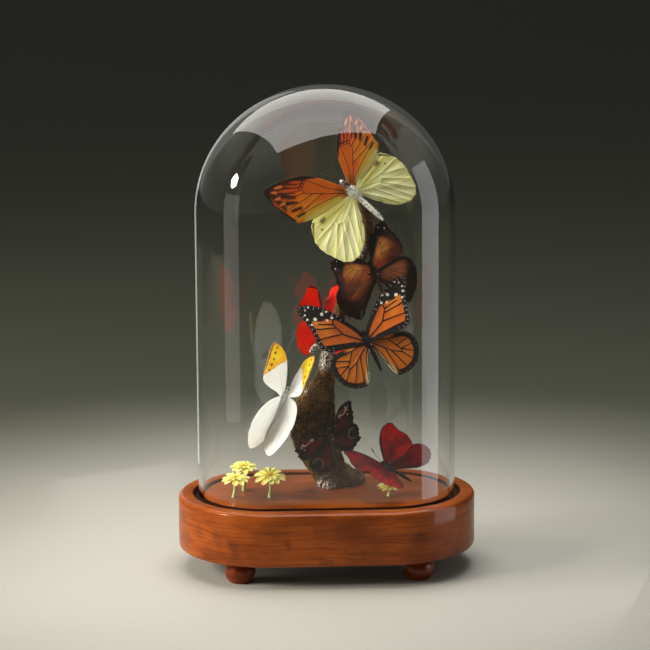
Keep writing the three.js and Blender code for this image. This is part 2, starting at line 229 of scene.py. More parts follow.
def wash(tree, colour, tint, value, low, high, least=0.0, most=1.0):
    # a tint over a colour, stronger as the value goes from low to high
    return blendColour(tree, span(tree, value, low, high, least, most), colour, tint)


def newGroup(name, vectorInputs, numberInputs, outputs):
    group = bpy.data.node_groups.new(name, "ShaderNodeTree")
    for label in vectorInputs:
        group.interface.new_socket(label, in_out="INPUT", socket_type="NodeSocketVector")
    for label in numberInputs:
        group.interface.new_socket(label, in_out="INPUT", socket_type="NodeSocketFloat")
    for label in outputs:
        group.interface.new_socket(label, in_out="OUTPUT", socket_type="NodeSocketFloat")
    return group, node(group, "NodeGroupInput").outputs, node(group, "NodeGroupOutput").inputs


def useGroup(tree, group, **inputs):
    labelled = {key.replace("_", " "): value for key, value in inputs.items()}
    return node(tree, "ShaderNodeGroup", labelled, node_tree=group).outputs


def surface(name, **plain):
    material = bpy.data.materials.new(name)
    material.use_nodes = True
    tree = material.node_tree
    tree.nodes.clear()
    shader = node(tree, "ShaderNodeBsdfPrincipled", plain)
    node(tree, "ShaderNodeOutputMaterial", {"Surface": shader.outputs[0]})
    return material, tree, shader


def paint(tree, shader, colour, rough=None):
    # the varying colour, and the varying roughness if there is one
    tree.links.new(colour, shader.inputs["Base Color"])
    if rough is not None:
        tree.links.new(rough, shader.inputs["Roughness"])


def relief(tree, shader, height, strength, depth):
    bump = node(tree, "ShaderNodeBump", {"Height": height, "Strength": strength, "Distance": depth})
    tree.links.new(bump.outputs[0], shader.inputs["Normal"])


def objectPlace(tree):
    # millimetres in the object's own frame
    spot = node(tree, "ShaderNodeTexCoord").outputs["Object"]
    return scaled(tree, spot, 1000.0)


def twoTone(name, light, dark, scale, rough=0.6, stretch=None, grain=0.6, bump=(0.4, 0.0003)):
    # a plain material speckled in two tones
    material, tree, shader = surface(name, Roughness=rough)
    tone = speckle(tree, objectPlace(tree), scale, 3.0, grain, stretch)
    paint(tree, shader, wash(tree, dark, light, tone, 0.35, 0.65))
    relief(tree, shader, tone, *bump)
    return material


# ---- effects shared by several materials

def strokeGroup():
    # a soft brush mark from one point to another, its half width going from one radius to the other
    group, given, out = newGroup("strokeMark", ["Place", "From", "To"],
                                 ["Start Radius", "End Radius", "Softness"], ["Mask"])
    away = vectors(group, "SUBTRACT", given["Place"], given["From"])
    line = vectors(group, "SUBTRACT", given["To"], given["From"])
    along = sums(group, "DIVIDE", vectors(group, "DOT_PRODUCT", away, line, out=1),
                 vectors(group, "DOT_PRODUCT", line, line, out=1), clamp=True)
    nearest = scaled(group, line, along)
    distance = vectors(group, "LENGTH", vectors(group, "SUBTRACT", away, nearest), out=1)
    radius = span(group, along, 0.0, 1.0, given["Start Radius"], given["End Radius"], smooth=False)
    inner = sums(group, "SUBTRACT", radius, given["Softness"])
    outer = sums(group, "ADD", radius, given["Softness"])
    group.links.new(span(group, distance, inner, outer, 1.0, 0.0), out["Mask"])
    return group


def dotRowGroup():
    # round dots in a row that follows a wing's rim
    group, given, out = newGroup("rimDots", ["Rim"], ["Inset", "Pitch", "Radius", "Shift"], ["Mask"])
    inside, arc, _ = parted(group, given["Rim"])
    run = sums(group, "ADD", arc, given["Shift"])
    across = sums(group, "SUBTRACT", sums(group, "FLOORED_MODULO", run, given["Pitch"]),
                  sums(group, "MULTIPLY", given["Pitch"], 0.5))
    inward = sums(group, "SUBTRACT", inside, given["Inset"])
    away = vectors(group, "LENGTH", joined(group, across, inward), out=1)
    low = sums(group, "SUBTRACT", given["Radius"], 0.15)
    high = sums(group, "ADD", given["Radius"], 0.15)
    group.links.new(span(group, away, low, high, 1.0, 0.0), out["Mask"])
    return group


def pleatGroup():
    # where fine creases fan out from a wing's root: the mask for their painted shade
    group, given, out = newGroup("pleatLines", ["Place"], [], ["Mask"])
    along, back, _ = parted(group, given["Place"])
    turn = sums(group, "ARCTAN2", back, sums(group, "ADD", along, 5.0))
    reach = vectors(group, "LENGTH", given["Place"], out=1)
    fan = joined(group, sums(group, "MULTIPLY", turn, 13.0), sums(group, "MULTIPLY", reach, 0.03))
    crease = speckle(group, fan, 1.6, 4.0, 0.7)
    group.links.new(span(group, crease, 0.47, 0.68), out["Mask"])
    return group


def woodGroup():
    # fibres that lie level round a turned band and run along X on its top, with clouds and pores
    group, given, out = newGroup("woodGrain", ["Place"], ["Top Height", "Fibre Scale", "Cloud Scale"],
                                 ["Fibre", "Cloud", "Pores"])
    place = given["Place"]
    onTop = sums(group, "GREATER_THAN", parted(group, place)[2], given["Top Height"])
    across = sums(group, "ADD", sums(group, "MULTIPLY", onTop, 0.97), 0.03)
    drawn = vectors(group, "MULTIPLY", place, joined(group, 0.03, across, 1.0))
    bent = speckle(group, place, 0.02, 2.0)
    lift = joined(group, 0.0, sums(group, "MULTIPLY", bent, 6.0), sums(group, "MULTIPLY", bent, 9.0))
    flowing = vectors(group, "ADD", drawn, lift)
    group.links.new(speckle(group, flowing, given["Fibre Scale"], 5.0, 0.62), out["Fibre"])
    wide = vectors(group, "MULTIPLY", place, (0.45, 0.7, 1.0))
    group.links.new(speckle(group, wide, given["Cloud Scale"], 4.0, 0.55), out["Cloud"])
    group.links.new(speckle(group, drawn, 2.6, 2.0, 0.5), out["Pores"])
    return group


strokeMark = strokeGroup()
rimDots = dotRowGroup()
woodGrain = woodGroup()
pleatLines = pleatGroup()


def stroke(tree, place, start, stop, first, last, soft):
    # where one brush mark lies
    return useGroup(tree, strokeMark, Place=place, From=start, To=stop, Start_Radius=first, End_Radius=last,
                    Softness=soft)[0]


# ---- camera, floor and lights

view = {
    "sensor": 36.0, "lens": 159.4, "clip": 50000.0,
    "azimuth": -2.7, "elevation": 11.7, "roll": -0.3,
    "distance": 2000.0, "aside": -0.53, "height": 172.5,
}


def setCamera():
    turn, lift, roll = (math.radians(view[key]) for key in ("azimuth", "elevation", "roll"))
    back = Vector((math.sin(turn) * math.cos(lift), -math.cos(turn) * math.cos(lift), math.sin(lift)))
    right = Vector((math.cos(turn), math.sin(turn), 0))
    up = back.cross(right)
    place = right * view["aside"] + Vector((0, 0, view["height"])) + back * view["distance"]
    rightRolled = math.cos(roll) * right + math.sin(roll) * up
    upRolled = math.cos(roll) * up - math.sin(roll) * right
    data = bpy.data.cameras.new("camera")
    data.sensor_width = view["sensor"]
    data.lens = view["lens"]
    data.clip_end = view["clip"] * mm
    camera = addObject("camera", data)
    axes = Matrix((rightRolled, upRolled, back)).transposed()
    camera.matrix_world = Matrix.Translation(place * mm) @ axes.to_4x4()
    bpy.context.scene.camera = camera


lamps = [
    # name, place, turn in degrees (None: it faces lampAim), size (one number: a disk), watts, colour,
    # and what it reaches: matt surfaces, gloss or both
    ("overhead", (-60, 60, 1210), (0, 0, 0), (900, 900), 12.0, (1.0, 0.985, 0.955), "surfaces"),
    ("overheadCard", (245, -536, 1488), (-31.2, -29.7, 19.7), (1480, 2363), 62.0, (1.0, 0.97, 0.94), "gloss"),
    ("key", (-1060, -520, 720), None, (230,), 8.0, (1.0, 0.95, 0.86), "surfaces and gloss"),
    ("leftWindow", (-1250, -60, 460), None, (600, 900), 21.0, (1.0, 0.95, 0.87), "surfaces"),
    ("leftCard", (-352, -204, 190), None, (165, 310), 0.22, (1.0, 0.99, 0.95), "gloss"),
    ("rightCard", (214, -72, 190), (90, 0, 72), (104, 370), 0.34, (0.97, 0.98, 1.0), "gloss"),
    ("rightFill", (1270, -380, 420), None, (620, 1250), 1.8, (0.96, 0.98, 1.0), "surfaces"),
    ("rimCard", (-165, 300, 130), None, (110, 260), 0.07, (1.0, 1.0, 0.95), "gloss"),
    ("crownCard", (-152, 300, 388), None, (130, 340), 0.118, (1.0, 1.0, 0.95), "gloss"),
    ("backLeft", (-900, 960, 300), None, (500, 800), 2.2, (1.0, 1.0, 0.92), "surfaces"),
]
lampAim = Vector((0.0, 0.0, 200.0))
backdrop = {"left": (0.40, 0.41, 0.36, 1), "right": (0.12, 0.12, 0.115, 1), "strength": 0.36}


def setLights():
    for name, place, turn, size, watts, colour, reaches in lamps:
        data = bpy.data.lights.new(name, "AREA")
        data.shape = "DISK" if len(size) == 1 else "RECTANGLE"
        data.size, data.size_y = size[0] * mm, size[-1] * mm
        data.energy = watts
        data.color = colour
        lamp = addObject(name, data)
        lamp.location = Vector(place) * mm
        if turn is None:
            lamp.rotation_euler = (lampAim - Vector(place)).to_track_quat("-Z", "Y").to_euler()
        else:
            lamp.rotation_euler = [math.radians(angle) for angle in turn]
        lamp.visible_camera = False
        lamp.visible_transmission = False
        lamp.visible_glossy = "gloss" in reaches
        lamp.visible_diffuse = "surfaces" in reaches
    world = bpy.data.worlds.new("studio")
    world.use_nodes = True
    tree = world.node_tree
    side = parted(tree, node(tree, "ShaderNodeTexCoord").outputs["Generated"])[0]
    tone = blendColour(tree, span(tree, side, -0.9, 0.9), backdrop["left"], backdrop["right"])
    tree.links.new(tone, tree.nodes["Background"].inputs["Color"])
    tree.nodes["Background"].inputs["Strength"].default_value = backdrop["strength"]
    bpy.context.scene.world = world
    bpy.context.scene.view_settings.view_transform = "Standard"


floorLook = {
    "near": hue(178, 176, 166), "far": hue(64, 66, 54),
    "start": 150.0, "end": 640.0,       # where the tone starts to turn and where it has turned
    "cloud": 110.0, "reach": 6000,
}


def makeFloor():
    material, tree, shader = surface("paleFloor", Roughness=0.6)
    place = objectPlace(tree)
    look, far = floorLook, floorLook["reach"]
    cloud = sums(tree, "MULTIPLY", speckle(tree, place, 0.003, 2.0), look["cloud"])
    away = sums(tree, "ADD", vectors(tree, "LENGTH", place, out=1), cloud)
    paint(tree, shader, wash(tree, look["near"], look["far"], away, look["start"], look["end"]))
    floor = Shape()
    floor.add([(-far, -far, 0), (far, -far, 0), (far, far, 0), (-far, far, 0)], [(0, 1, 2, 3)])
    floor.make("floor", [material])


setCamera()
setLights()
makeFloor()
print("camera, lights and floor set")


# ---- plinth, feet and glass

plinth = {
    "length": 208.0, "depth": 127.0, "footHeight": 16.0, "height": 38.0,
    "rim": 10.0, "groove": 8.0, "grooveDepth": 4.0, "round": 3.0,
    "light": hue(166, 80, 15), "dark": hue(92, 36, 6), "knot": hue(42, 18, 9), "shade": hue(50, 22, 9),
    # dark knots: from, to, radius, softness
    "knots": [
        ((-67, -56, 31), (-65, -57, 24), 2.4, 1.8), ((-88, -38, 40), (-87, -39, 34), 1.7, 2.2),
        ((-78, -50, 36), (-76, -51, 33), 1.5, 2.2), ((-30, -64, 34), (-29, -64, 31), 1.5, 1.5),
        ((-6, -64, 20), (0, -64, 19), 1.4, 1.6), ((60, -60, 36), (64, -58, 35), 1.6, 2.0),
        ((-20, -18, 54), (-6, -20, 54), 2.2, 3.2), ((26, -34, 54), (40, -36, 54), 1.6, 2.6),
        ((90, 30, 30), (92, 26, 27), 2.2, 1.8), ((20, 64, 36), (26, 64, 33), 2.2, 1.8),
        ((-52, 62, 28), (-50, 62, 25), 1.8, 1.6)],
}
# the feet wear the plinth's wood far darker: partly their own darker stain, partly painted shade
foot = {
    "radius": 10.8, "spread": (62.0, 38.0), "sides": 40, "light": hue(122, 50, 14), "dark": hue(58, 22, 8),
    # shares of the radius and of the height
    "outline": [(0.62, 0), (0.74, 0.03), (0.86, 0.14), (0.95, 0.27), (1, 0.42), (0.985, 0.56), (0.92, 0.7),
                (0.82, 0.82), (0.72, 0.885), (0.7, 0.91), (0.74, 0.93), (0.74, 0.98), (0.72, 1)],
}
glass = {
    "height": 290.0, "crown": 88.0, "wall": 3.0, "gap": 4.0, "clearance": 0.3, "lip": 1.2,
    "endSteps": 72, "sideSteps": 24, "wallLevels": 8, "crownLevels": 56,
}

halfStraight = (plinth["length"] - plinth["depth"]) / 2
plinthRadius = plinth["depth"] / 2
floorHeight = plinth["footHeight"] + plinth["height"]


def ovalRing(radius, straight, height, steps=64, flat=1):
    # two half circles joined by straight sides, each side in so many flat stretches
    ring = []
    for side in (1, -1):
        for i in range(steps + 1):
            turn = math.pi * (i / steps - 0.5)
            ring.append((side * (radius * math.cos(turn) + straight), side * radius * math.sin(turn), height))
        for i in range(1, flat):
            ring.append((side * straight * (1 - 2 * i / flat), side * radius, height))
    return ring


def grooveShadeMask(tree, place):
    # painted shade that lies in the routed groove, round the glass foot
    x, y, z = parted(tree, place)
    end = sums(tree, "MAXIMUM", sums(tree, "SUBTRACT", sums(tree, "ABSOLUTE", x), halfStraight), 0.0)
    away = vectors(tree, "LENGTH", joined(tree, end, y), out=1)
    return sums(tree, "MULTIPLY", span(tree, away, plinthRadius - 6, plinthRadius - 8, 0.0, 1.0),
                span(tree, z, floorHeight - 0.9, floorHeight - 0.3, 1.0, 0.0))


def lacqueredWood(name, wood, fibreScale, cloudScale, knots=()):
    material, tree, shader = surface(name, **{
        "Roughness": 0.4, "Specular IOR Level": 0.08, "Coat Weight": 0.34, "Coat Roughness": 0.06,
        "Coat IOR": 1.45})
    place = objectPlace(tree)
    fibre, cloud, pores = useGroup(tree, woodGrain, Place=place, Top_Height=floorHeight - 0.6,
                                   Fibre_Scale=fibreScale, Cloud_Scale=cloudScale)
    colour = wash(tree, wood["light"], wood["dark"], fibre, 0.3, 0.8, 0.0, 0.8)
    colour = wash(tree, colour, wood["dark"], cloud, 0.42, 0.72, 0.0, 0.8)
    colour = wash(tree, colour, plinth["knot"], pores, 0.6, 0.8, 0.0, 0.35)
    for start, stop, radius, soft in knots:
        mark = stroke(tree, place, start, stop, radius, radius * 0.7, soft * 2.2)
        share = sums(tree, "MULTIPLY", mark, span(tree, fibre, 0.2, 0.6, 0.25, 0.7))
        colour = blendColour(tree, share, colour, plinth["knot"])
    # painted shade darkens the groove
    if knots:
        colour = blendColour(tree, grooveShadeMask(tree, place), colour, plinth["shade"])
    paint(tree, shader, colour, span(tree, pores, 0.3, 0.8, 0.34, 0.48))
    relief(tree, shader, sums(tree, "ADD", pores, fibre), 0.12, 0.00015)
    return material


def makePlinth():
    low, top, edge = plinth["footHeight"], floorHeight, plinth["round"]
    outer = plinthRadius - plinth["rim"]
    inner = outer - plinth["groove"]
    bottom = top - plinth["grooveDepth"]
    profile = [(plinthRadius - 3.5, low), (plinthRadius - 1.2, low + 0.4), (plinthRadius - 0.3, low + 1.3),
               (plinthRadius, low + 2.6), (plinthRadius, low + 12), (plinthRadius, top - 12)]
    for turn in turns(8, math.pi / 2) + [math.pi / 2]:
        profile.append((plinthRadius - edge * (1 - math.cos(turn)), top - edge * (1 - math.sin(turn))))
    profile += [(plinthRadius - 6, top), (outer + 0.5, top), (outer + 0.12, top - 0.15), (outer, top - 0.6),
                (outer, bottom + 0.3), (outer - 0.3, bottom), (inner + 0.3, bottom), (inner, bottom + 0.3),
                (inner, top - 0.8), (inner - 0.25, top - 0.25), (inner - 0.8, top), (inner * 0.7, top),
                (inner * 0.4, top), (4, top)]
    body = Shape()
    body.add(*skin([ovalRing(radius, halfStraight, height) for radius, height in profile]))
    piece = body.make("plinth_wood", [lacqueredWood("plinthWood", plinth, 0.5, 0.035, plinth["knots"])], 35)
    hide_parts("plinth")
    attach(piece, "root")


def makeFeet():
    wood = lacqueredWood("footWood", foot, 0.7, 0.06)
    tall = plinth["footHeight"] - 0.1
    profile = curvePoints([(a * foot["radius"], 0, b * tall) for a, b in foot["outline"]], 26)
    for side, x in (("left", -1), ("right", 1)):
        for end, y in (("front", -1), ("back", 1)):
            bun = Shape()
            points, faces = lathe([(p.x, p.z) for p in profile], foot["sides"])
            move = Vector((x * foot["spread"][0], y * foot["spread"][1], 0))
            bun.add([Vector(p) + move for p in points], faces)
            piece = bun.make(f"bun_foot_{end}_{side}", [wood])
            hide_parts(f"foot_{end}_{side}")
            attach(piece, "root")


def clearGlass():
    material, tree, shader = surface("clearGlass", **{
        "Base Color": (0.985, 0.995, 0.988, 1), "Roughness": 0.0, "IOR": 1.47, "Transmission Weight": 1.0})
    path = node(tree, "ShaderNodeLightPath").outputs
    lets = node(tree, "ShaderNodeBsdfTransparent", {"Color": (0.97, 0.98, 0.97, 1)}).outputs[0]
    seen = shader.outputs[0]
    for ray in ("Is Shadow Ray", "Is Diffuse Ray"):
        seen = node(tree, "ShaderNodeMixShader", {0: path[ray], 1: seen, 2: lets}).outputs[0]
    tree.links.new(seen, tree.nodes["Material Output"].inputs["Surface"])
    return material


def glassRing(radius, straight, height, rise=0.0):
    # the blown crown turns from a straight-sided oval at its shoulder to an ellipse at its top
    share = (3 - 2 * rise) * rise * rise
    ring = []
    for x, y, z in ovalRing(radius, straight, height, glass["endSteps"], glass["sideSteps"]):
        bulge = radius * math.sqrt(max(1 - (x / (radius + straight)) ** 2, 0.0))
        ring.append((x, y + share * (math.copysign(bulge, y) - y), z))
    return ring


def makeGlass():
    radius = plinthRadius - plinth["rim"] - glass["gap"]
    low = floorHeight - plinth["grooveDepth"] + glass["clearance"]
    shoulder = low + glass["height"] - glass["crown"]
    wall, crown = glass["wall"], glass["crown"]
    levels, crownLevels = glass["wallLevels"], glass["crownLevels"]

    def wallRings(inset):
        rings = [glassRing(radius - inset, halfStraight, low + glass["lip"] * k) for k in (1, 1.5, 3)]
        rings += [glassRing(radius - inset, halfStraight, low + (shoulder - low) * k / levels)
                  for k in range(1, levels)]
        for k, rise in enumerate(turns(crownLevels, math.pi / 2)):
            rings.append(glassRing((radius - inset) * math.cos(rise), halfStraight * math.cos(rise),
                                   shoulder + (crown - inset) * math.sin(rise), k / crownLevels))
        rings.append(glassRing(0.5, 0.4, shoulder + crown - inset, 1.0))
        return rings

    outside, inside = wallRings(0), wallRings(wall)
    lip = [glassRing(radius - wall / 2 - math.cos(turn) * wall / 2, halfStraight,
                     low + glass["lip"] * (1 - math.sin(turn))) for turn in turns(6, math.pi)[1:]]
    dome = Shape()
    dome.add(*skin(list(reversed(inside)) + lip + outside))
    piece = dome.make("clear_dome", [clearGlass()], 60)
    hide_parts("glass_dome")
    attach(piece, "root")


makePlinth()
makeFeet()
makeGlass()
print("plinth, feet and glass made")


# ---- branch

bough = {
    "path": [(8, 16, 54.3), (3.6, 14, 63), (-2.5, 11, 77), (-9, 8, 99), (-6, 6, 118), (-1, 5, 131),
             (0.5, 5, 142), (1.5, 6, 152), (6, 7, 167.5), (12, 8, 185), (18, 9, 202.5), (25, 9, 219),
             (30, 7, 236.5), (29, 5, 251), (25.6, 3, 259)],
    "radii": [11, 10.8, 11.6, 13.2, 14.8, 15.2, 14.4, 12.8, 9.8, 6.4, 4.8, 4.4, 4.4, 4.5, 4.5, 4.4, 4.2,
              4.1, 4, 3.8, 3.7, 3.6, 3.5, 3.3, 2.9],
    "lumps": [([(17, 15, 54.3), (15, 15, 61), (12, 15, 67)], [7.5, 6.5, 4]),
              ([(23, 19, 54.3), (21, 19, 58), (18, 18, 62)], [6, 5, 3]),
              ([(-0.5, 10, 54.3), (-0.5, 11, 60), (-1, 12, 66)], [6, 5.8, 4.6]),
              ([(4, 6.5, 54.3), (3, 7, 58), (2, 9, 63)], [5.6, 5, 4])],
    "snag": ([(-4.2, 4.8, 156), (-7.4, 3.6, 156.6), (-10.4, 3, 152.6)], [1.7, 2, 1.8, 1.1]),
    "voxel": 0.9, "steps": 90, "sides": 20,
    "pale": hue(252, 240, 222), "bark": hue(88, 54, 26), "moss": hue(144, 106, 54), "deep": hue(22, 13, 8),
    "straw": hue(206, 164, 96), "pink": hue(186, 104, 80), "fibres": 7000,
    # pale stretches: from, to, radius, softness
    "paleMarks": [((-6, 2, 54), (1, 0, 59), 7.4, 1.2), ((-2, 0, 146), (1, 1, 152), 6.0, 1.6),
                  ((-16, 1, 128), (-11, 1, 144), 3.6, 1.6), ((-9, 3, 155), (-4, 3, 156), 4.0, 1.0),
                  ((13, 3, 186), (15, 4, 192), 2.6, 2.0), ((24, 4, 219), (27, 3, 226), 3.0, 2.0)],
}


def barkMaterial():
    material, tree, shader = surface("bark", **{"Roughness": 0.85, "Specular IOR Level": 0.25})
    place = objectPlace(tree)
    fibre = speckle(tree, place, 0.55, 5.0, 0.65, stretch=(1.0, 1.0, 0.28))
    lump = speckle(tree, place, 0.13, 4.0, 0.6)
    fine = speckle(tree, place, 1.6, 4.0, 0.7)
    height = stored(tree, "bark", "Fac")
    colour = wash(tree, bough["deep"], bough["bark"], fibre, 0.36, 0.64)
    colour = wash(tree, colour, bough["moss"], lump, 0.45, 0.68, 0.0, 0.75)
    colour = wash(tree, colour, bough["straw"], fine, 0.52, 0.64, 0.0, 0.7)
    pale = 0.0
    for start, stop, radius, soft in bough["paleMarks"]:
        pale = sums(tree, "MAXIMUM", pale, stroke(tree, place, start, stop, radius, radius, soft))
    cells = node(tree, "ShaderNodeTexVoronoi", {"Vector": place, "Scale": 0.62}, feature="DISTANCE_TO_EDGE")
    # painted shade: the splits, where the bark sinks lowest, are darkened almost to black
    colour = wash(tree, colour, bough["deep"], height, -0.9, 0.5, 0.95, 0.0)
    colour = wash(tree, colour, bough["straw"], height, 1.5, 2.2, 0.0, 0.8)
    creamy = wash(tree, bough["pale"], bough["pink"], lump, 0.5, 0.7, 0.0, 0.5)
    creamy = wash(tree, creamy, bough["deep"], cells.outputs["Distance"], 0.05, 0.24, 0.95, 0.0)
    speckled = sums(tree, "MULTIPLY", pale, span(tree, fine, 0.3, 0.42))
    paint(tree, shader, blendColour(tree, speckled, colour, creamy))
    relief(tree, shader, sums(tree, "ADD", fibre, fine), 0.5, 0.0006)
    return material


def roughened(shape, name, material, floorLevel, strength):
    # one skin over all limbs, then swollen and split as bark is
    rough = shape.make(name + "_rough", [])
    remesh = rough.modifiers.new("skin", "REMESH")
    remesh.mode = "VOXEL"
    remesh.voxel_size = bough["voxel"] * mm
    bpy.context.view_layer.update()
    mesh = bpy.data.meshes.new_from_object(rough.evaluated_get(bpy.context.evaluated_depsgraph_get()))
    bpy.data.objects.remove(rough)
    count = len(mesh.vertices)
    spots, normals = np.empty(count * 3), np.empty(count * 3)
    mesh.vertices.foreach_get("co", spots)
    mesh.vertices.foreach_get("normal", normals)
    spots, normals = spots.reshape(-1, 3) / mm, normals.reshape(-1, 3)
    heights = np.empty(count)
    for i, (x, y, z) in enumerate(spots):
        ridge = abs(noise.noise((x * 0.34, y * 0.34, z * 0.075)))
        swell = noise.noise((x * 0.1 + 7, y * 0.1, z * 0.07))
        crumb = noise.noise((x * 0.9, y * 0.9, z * 0.6 + 3))
        heights[i] = 0.8 + 1.4 * swell - 4.2 * max(0.24 - ridge, 0) + 0.55 * crumb
    thin = np.interp(spots[:, 2], [140, 165, 260], [1.0, 0.5, 0.4])
    grown = spots + normals * (heights * thin * strength)[:, None]
    grown[:, 2] = np.maximum(grown[:, 2], floorLevel)
    mesh.vertices.foreach_set("co", (grown * mm).ravel())
    keepValues(mesh, "bark", heights)
    mesh.polygons.foreach_set("use_smooth", [True] * len(mesh.polygons))
    mesh.materials.clear()
    mesh.materials.append(material)
    mesh.update()
    mesh.name = name
    return addObject(name, mesh)


def barkFibres(bark):
    # short loose fibres that lie down the trunk, most of them on its lower half
    dice = random.Random(5)
    centres = curvePoints(bough["path"], bough["steps"])
    last = bough["steps"] - 1
    spread = np.linspace(0, 1, len(bough["radii"]))
    shape = Shape()
    for _ in range(bough["fibres"]):
        share = dice.uniform(0.03, 0.42) if dice.random() < 0.86 else dice.uniform(0.42, 0.98)
        k = min(int(share * last), last - 1)
        centre = centres[k].lerp(centres[k + 1], share * last - k)
        ahead = (centres[k + 1] - centres[k]).normalized()
        turn = dice.uniform(0, 2 * math.pi)
        aside = ahead.orthogonal().normalized()
        out = aside * math.cos(turn) + ahead.cross(aside) * math.sin(turn)
        radius = float(np.interp(share, spread, bough["radii"]))
        start = centre + out * (radius + dice.uniform(-0.2, 0.7))
        size = min(1.0, radius / 9)
        way = ahead * dice.choice((-1, 1)) + out * dice.uniform(-0.05, 0.4)
        way = (way + ahead.cross(out) * dice.uniform(-0.8, 0.8)).normalized()
        length = dice.uniform(1.6, 5.0) * size
        wide = out.cross(way).normalized() * dice.uniform(0.16, 0.34) * (0.5 + 0.5 * size)
        high = way.cross(wide)
        middle = start + way * length * 0.5 + out * 0.25 * size
        tip = start + way * length
        if min(start.z, middle.z, tip.z) < floorHeight + 0.6:
            continue
        shape.add(threeRound(start, wide, high) + threeRound(middle, wide, high) + [tip],
                  [(0, 2, 1), (0, 1, 4, 3), (1, 2, 5, 4), (2, 0, 3, 5), (3, 4, 6), (4, 5, 6), (5, 3, 6)])
    piece = shape.make("driftwood_fibres", [bark], 180)
    keepValues(piece.data, "bark", [dice.uniform(0.3, 2.4) for _ in shape.points])
    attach(piece, "root")


def makeBranch():
    bark = barkMaterial()
    barkFibres(bark)
    wood, snag = Shape(), Shape()
    wood.add(*tube(bough["path"], bough["radii"], bough["sides"], bough["steps"]))
    for path, radii in bough["lumps"]:
        wood.add(*tube(path, radii, 14, 10))
    piece = roughened(wood, "driftwood", bark, floorHeight + 0.1, 1.0)
    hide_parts("branch")
    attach(piece, "root")
    snag.add(*tube(*bough["snag"], 12, 12))
    piece = roughened(snag, "driftwood_twig", bark, 0, 0.5)
    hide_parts("branch_twig")
    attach(piece, "root")


makeBranch()
print("branch made")


# ---- wings
# A wing lies flat: along is the way from root to tip, back is towards the tail, both in millimetres.
# marks: colour, then for each stroke from x, y, to x, y, radius at each end and softness. The ones in
# ink lie over the veins.
# whites: place and radius. dots: distance from the rim, pitch, radius, shift.
# border: colour, width, softness; it starts where borderFrom says.

ink = hue(20, 13, 11)
umber = hue(58, 24, 10)

orangeFore = {
    "outline": [(-2.5, -1.2), (9, -6.5), (20, -10.5), (31, -11), (41, -8), (49, -3.5), (53, 0), (50, 6),
        (43, 12.5), (36, 18), (29.5, 21.8), (23.5, 20.6), (14.5, 15.4), (6.2, 9), (-2.5, 3)],
    "ground": hue(242, 112, 12), "under": hue(222, 86, 16),
    "marks": [
        (hue(240, 136, 20), (22, 6, 36, 10, 5, 4, 3)),
        (hue(216, 84, 30), (34, -6, 45, 2, 5, 4, 3)),
        (hue(222, 176, 66), (6, 4.5, 29, 17.4, 2.8, 2.6, 1.8)),
        (hue(214, 202, 122), (0, 3.6, 23, 19.6, 2.8, 2.2, 1.6)),
        (hue(172, 92, 34), (0, 0, 5, -2, 4, 2.5, 2.5)),
        (hue(236, 150, 40), (33, 17.5, 30, 19.6, 1.3, 1.3, 0.6)),
        (ink, (18, -11.6, 42, -8.6, 1.3, 1.7, 0.5), (8, -7.2, 20, -11.8, 0.6, 1.2, 0.4),
            (44, -7.6, 53.5, -0.4, 2.4, 2.4, 0.9), (53, 0.6, 46.5, 10.8, 2.2, 1.6, 0.7),
            (46.5, 10.8, 31, 20.6, 1.6, 0.8, 0.6)),
        (umber, (38, -7.5, 49, 0, 2.0, 3.4, 2.2), (47, 3, 38, 12.5, 2.8, 1.6, 1.8),
            (33.5, 3.8, 40.5, 3.4, 1.2, 1.9, 0.9), (31.4, 7.2, 37.2, 8.4, 0.9, 1.7, 0.8),
            (28.6, 11.0, 33.4, 13.2, 1.2, 1.2, 0.8), (26, 14.6, 29.4, 17.0, 0.9, 1.0, 0.8),
            (29.2, -8.8, 31.4, -2.0, 0.7, 0.45, 0.5), (33, -4.8, 43, -5.6, 0.3, 0.9, 0.5),
            (33, -2.8, 45, -2.2, 0.3, 0.9, 0.5), (33, 0.8, 44, 1.8, 0.3, 0.9, 0.6)),
        (hue(236, 128, 62), (47.6, 1.0, 45.6, 1.0, 0.8, 1.0, 0.5),
            (46.0, -2.0, 42.6, -3.4, 0.8, 1.0, 0.5)),
        (hue(236, 132, 62), (44.8, 5.6, 43.0, 5.0, 0.8, 1.1, 0.5)),
        (hue(238, 138, 62), (41.2, 9.4, 39.6, 8.4, 0.8, 1.1, 0.5)),
        (hue(240, 146, 62), (36.8, 13.2, 35.6, 12.0, 0.7, 1.0, 0.5)),
    ],
    "veinColour": hue(62, 22, 10), "veinWidth": 0.3, "wavy": 0.25,
    "veins": [[(-1, -0.8), (14, -3.5), (27, -8.5)],
        [(-1, 0.2), (14, 0.6), (26.5, 0.8), (29.5, -1.6), (28.5, -6.4), (27, -8.5)],
        [(27, -8.5), (43, -7.2)], [(28.6, -6.2), (46.5, -4.5)], [(29.4, -3.6), (49, -0.6)],
        [(29.6, -1.6), (48.5, 4.4)], [(27.8, 0.2), (43.5, 9.0)], [(22, 0.8), (38.5, 14.0)],
        [(16, 0.7), (32.5, 18.2)], [(5, 1.2), (18, 8.2), (29, 16.8)]],
}
